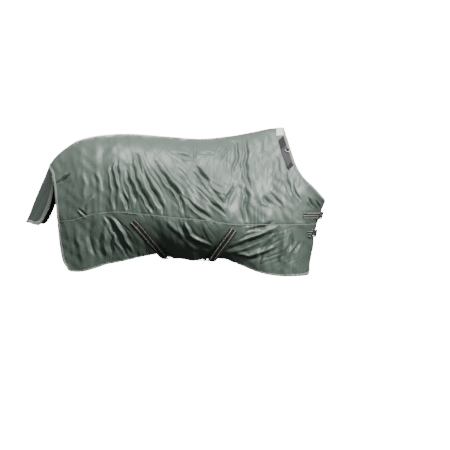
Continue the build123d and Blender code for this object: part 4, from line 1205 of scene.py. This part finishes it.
@dataclass
class Studio:
    """A pale floor, soft light and the camera."""

    target: tuple[float, float, float] = (-0.285, 0.0, -0.582)
    eye: tuple[float, float, float] = (-0.285, -8.5, -0.30)
    lens: float = 112.0
    floor_height: float = -1.62
    floor_half: float = 30.0
    low_sky: float = 0.06
    high_sky: float = 0.75
    backdrop: float = 18.0

    def _light(self, name: str, place: tuple[float, float, float], size: float, power: float) -> None:
        """Adds an area light that looks at the rug.

        Args: name; place, size: metres; power: watts.
        """
        data = bpy.data.lights.new(name, "AREA")
        data.shape, data.size, data.energy = "DISK", size, power
        obj = bpy.data.objects.new(name, data)
        obj.location = place
        bpy.context.scene.collection.objects.link(obj)
        self._aim(obj)

    def _aim(self, obj: bpy.types.Object) -> None:
        """Args: obj: a lamp or the camera. Turns it to look at the target."""
        ahead = np.subtract(self.target, obj.location)
        ahead = ahead / np.linalg.norm(ahead)
        obj.rotation_euler = (math.acos(-ahead[2]), 0, math.atan2(-ahead[0], ahead[1]))

    def _floor(self) -> None:
        """Makes the pale floor, which shines evenly and throws no light on the rug."""
        mesh = bpy.data.meshes.new("floor")
        z = self.floor_height
        far = self.floor_half
        mesh.from_pydata([(-far, -far, z), (far, -far, z), (far, far, z), (-far, far, z)], [], [(0, 1, 2, 3)])
        floor = bpy.data.objects.new("floor", mesh)
        pale = Nodes("pale_floor")
        pale.set(Base_Color=(0.86, 0.86, 0.86, 1), Roughness=0.9, Specular_IOR_Level=0.1,
                 Emission_Color=(1, 1, 1, 1), Emission_Strength=self.backdrop)
        floor.visible_diffuse = floor.visible_glossy = False
        mesh.materials.append(pale.material)
        bpy.context.scene.collection.objects.link(floor)

    def _world(self) -> None:
        """Makes a sky that is brighter overhead, with a white backdrop seen only by the camera."""
        world = bpy.data.worlds.new("studio")
        world.use_nodes = True
        tree = world.node_tree
        background = tree.nodes["Background"]
        background.inputs["Color"].default_value = (1, 1, 1, 1)
        place, split = tree.nodes.new("ShaderNodeTexCoord"), tree.nodes.new("ShaderNodeSeparateXYZ")
        tree.links.new(place.outputs["Generated"], split.inputs[0])
        sky = tree.nodes.new("ShaderNodeMapRange")
        spans = {"From Min": -0.15, "From Max": 0.75, "To Min": self.low_sky, "To Max": self.high_sky}
        for name, value in spans.items():
            sky.inputs[name].default_value = value
        tree.links.new(split.outputs["Z"], sky.inputs["Value"])
        path, level = tree.nodes.new("ShaderNodeLightPath"), tree.nodes.new("ShaderNodeMix")
        level.inputs[3].default_value = self.backdrop
        tree.links.new(path.outputs["Is Camera Ray"], level.inputs[0])
        tree.links.new(sky.outputs["Result"], level.inputs[2])
        tree.links.new(level.outputs[0], background.inputs["Strength"])
        bpy.context.scene.world = world

    def build(self) -> None:
        """Makes the floor, world, lights and camera."""
        self._floor()
        self._world()
        self._light("key", (2.7, -3.4, 2.3), 1.3, 430)
        self._light("overhead", (-0.6, -2.1, 4.2), 1.1, 280)
        self._light("far_side", (-1.6, 4.6, 1.3), 2.5, 230)
        data = bpy.data.cameras.new("camera")
        data.lens, data.sensor_width, data.clip_end = self.lens, 36.0, 100.0
        camera = bpy.data.objects.new("camera", data)
        camera.location = self.eye
        bpy.context.scene.collection.objects.link(camera)
        self._aim(camera)
        bpy.context.scene.camera = camera


def main() -> None:
    """Builds the rug piece by piece."""
    form = Form()
    right, left = ClothSide(form, Side.RIGHT, 7), ClothSide(form, Side.LEFT, 23)
    coated = ClothFinish("coated_cloth", (0.088, 0.121, 0.098), (0.064, 0.090, 0.072), 0.40, 0.04, 0.22).build()
    lining = ClothFinish("lining_cloth", (0.045, 0.055, 0.05), (0.035, 0.045, 0.04), 0.5, 0.2, 0.0).build()
    binding = TapeFinish("binding_tape", (0.25, 0.28, 0.25), roughness=0.6).build()
    piping = TapeFinish("piping", (0.17, 0.195, 0.17), roughness=0.6).build()
    striped = TapeFinish("striped_webbing", (0.006, 0.008, 0.005), (0.42, 0.44, 0.33), stripes=(0.25, 0.75)).build()
    chest_striped = TapeFinish("chest_webbing", (0.006, 0.008, 0.005), (0.4, 0.43, 0.38), (0.12, 0.5, 0.88)).build()
    black = TapeFinish("black_webbing", (0.006, 0.006, 0.006)).build()
    white = TapeFinish("white_patch", (0.80, 0.80, 0.78), roughness=0.6).build()
    label = TapeFinish("label_cloth", (0.05, 0.046, 0.06), (0.02, 0.02, 0.02), (0.04, 0.96)).build()
    steel = MetalFinish("plated_steel", (0.62, 0.62, 0.60)).build()
    brass = MetalFinish("brass_plate", (0.62, 0.42, 0.16), 0.3).build()
    thread = TapeFinish("thread", (0.16, 0.18, 0.165), roughness=0.7).build()
    lines: list[Array] = []
    for cloth in (right, left):
        for obj in Panels(cloth, coated, lining).build():
            LOG.info("%s: %d faces", obj.name, len(obj.data.polygons))
        edges = Edges(cloth, binding, piping)
        edges.build()
        lines += edges.stitches
        LOG.info("%s edges bound", cloth.side.name.lower())
    WithersTrim((right, left), white, label, black).build()
    LOG.info("withers trim")
    webbing = Webbing(form, (right, left), striped, chest_striped, black)
    webbing.build()
    LOG.info("webbing")
    TailFlap(coated, lining, binding, form).build()
    LOG.info("tail flap")
    Stitching("edge_stitches", lines, thread, Slot.BINDING).build()
    Stitching("webbing_stitches", webbing.stitches, thread, Slot.STRIPED, 0.0035, 0.0023, 0.0003).build()
    LOG.info("%d fittings", Hardware(steel, brass).build())
    Studio().build()


if __name__ == "__main__":
    main()
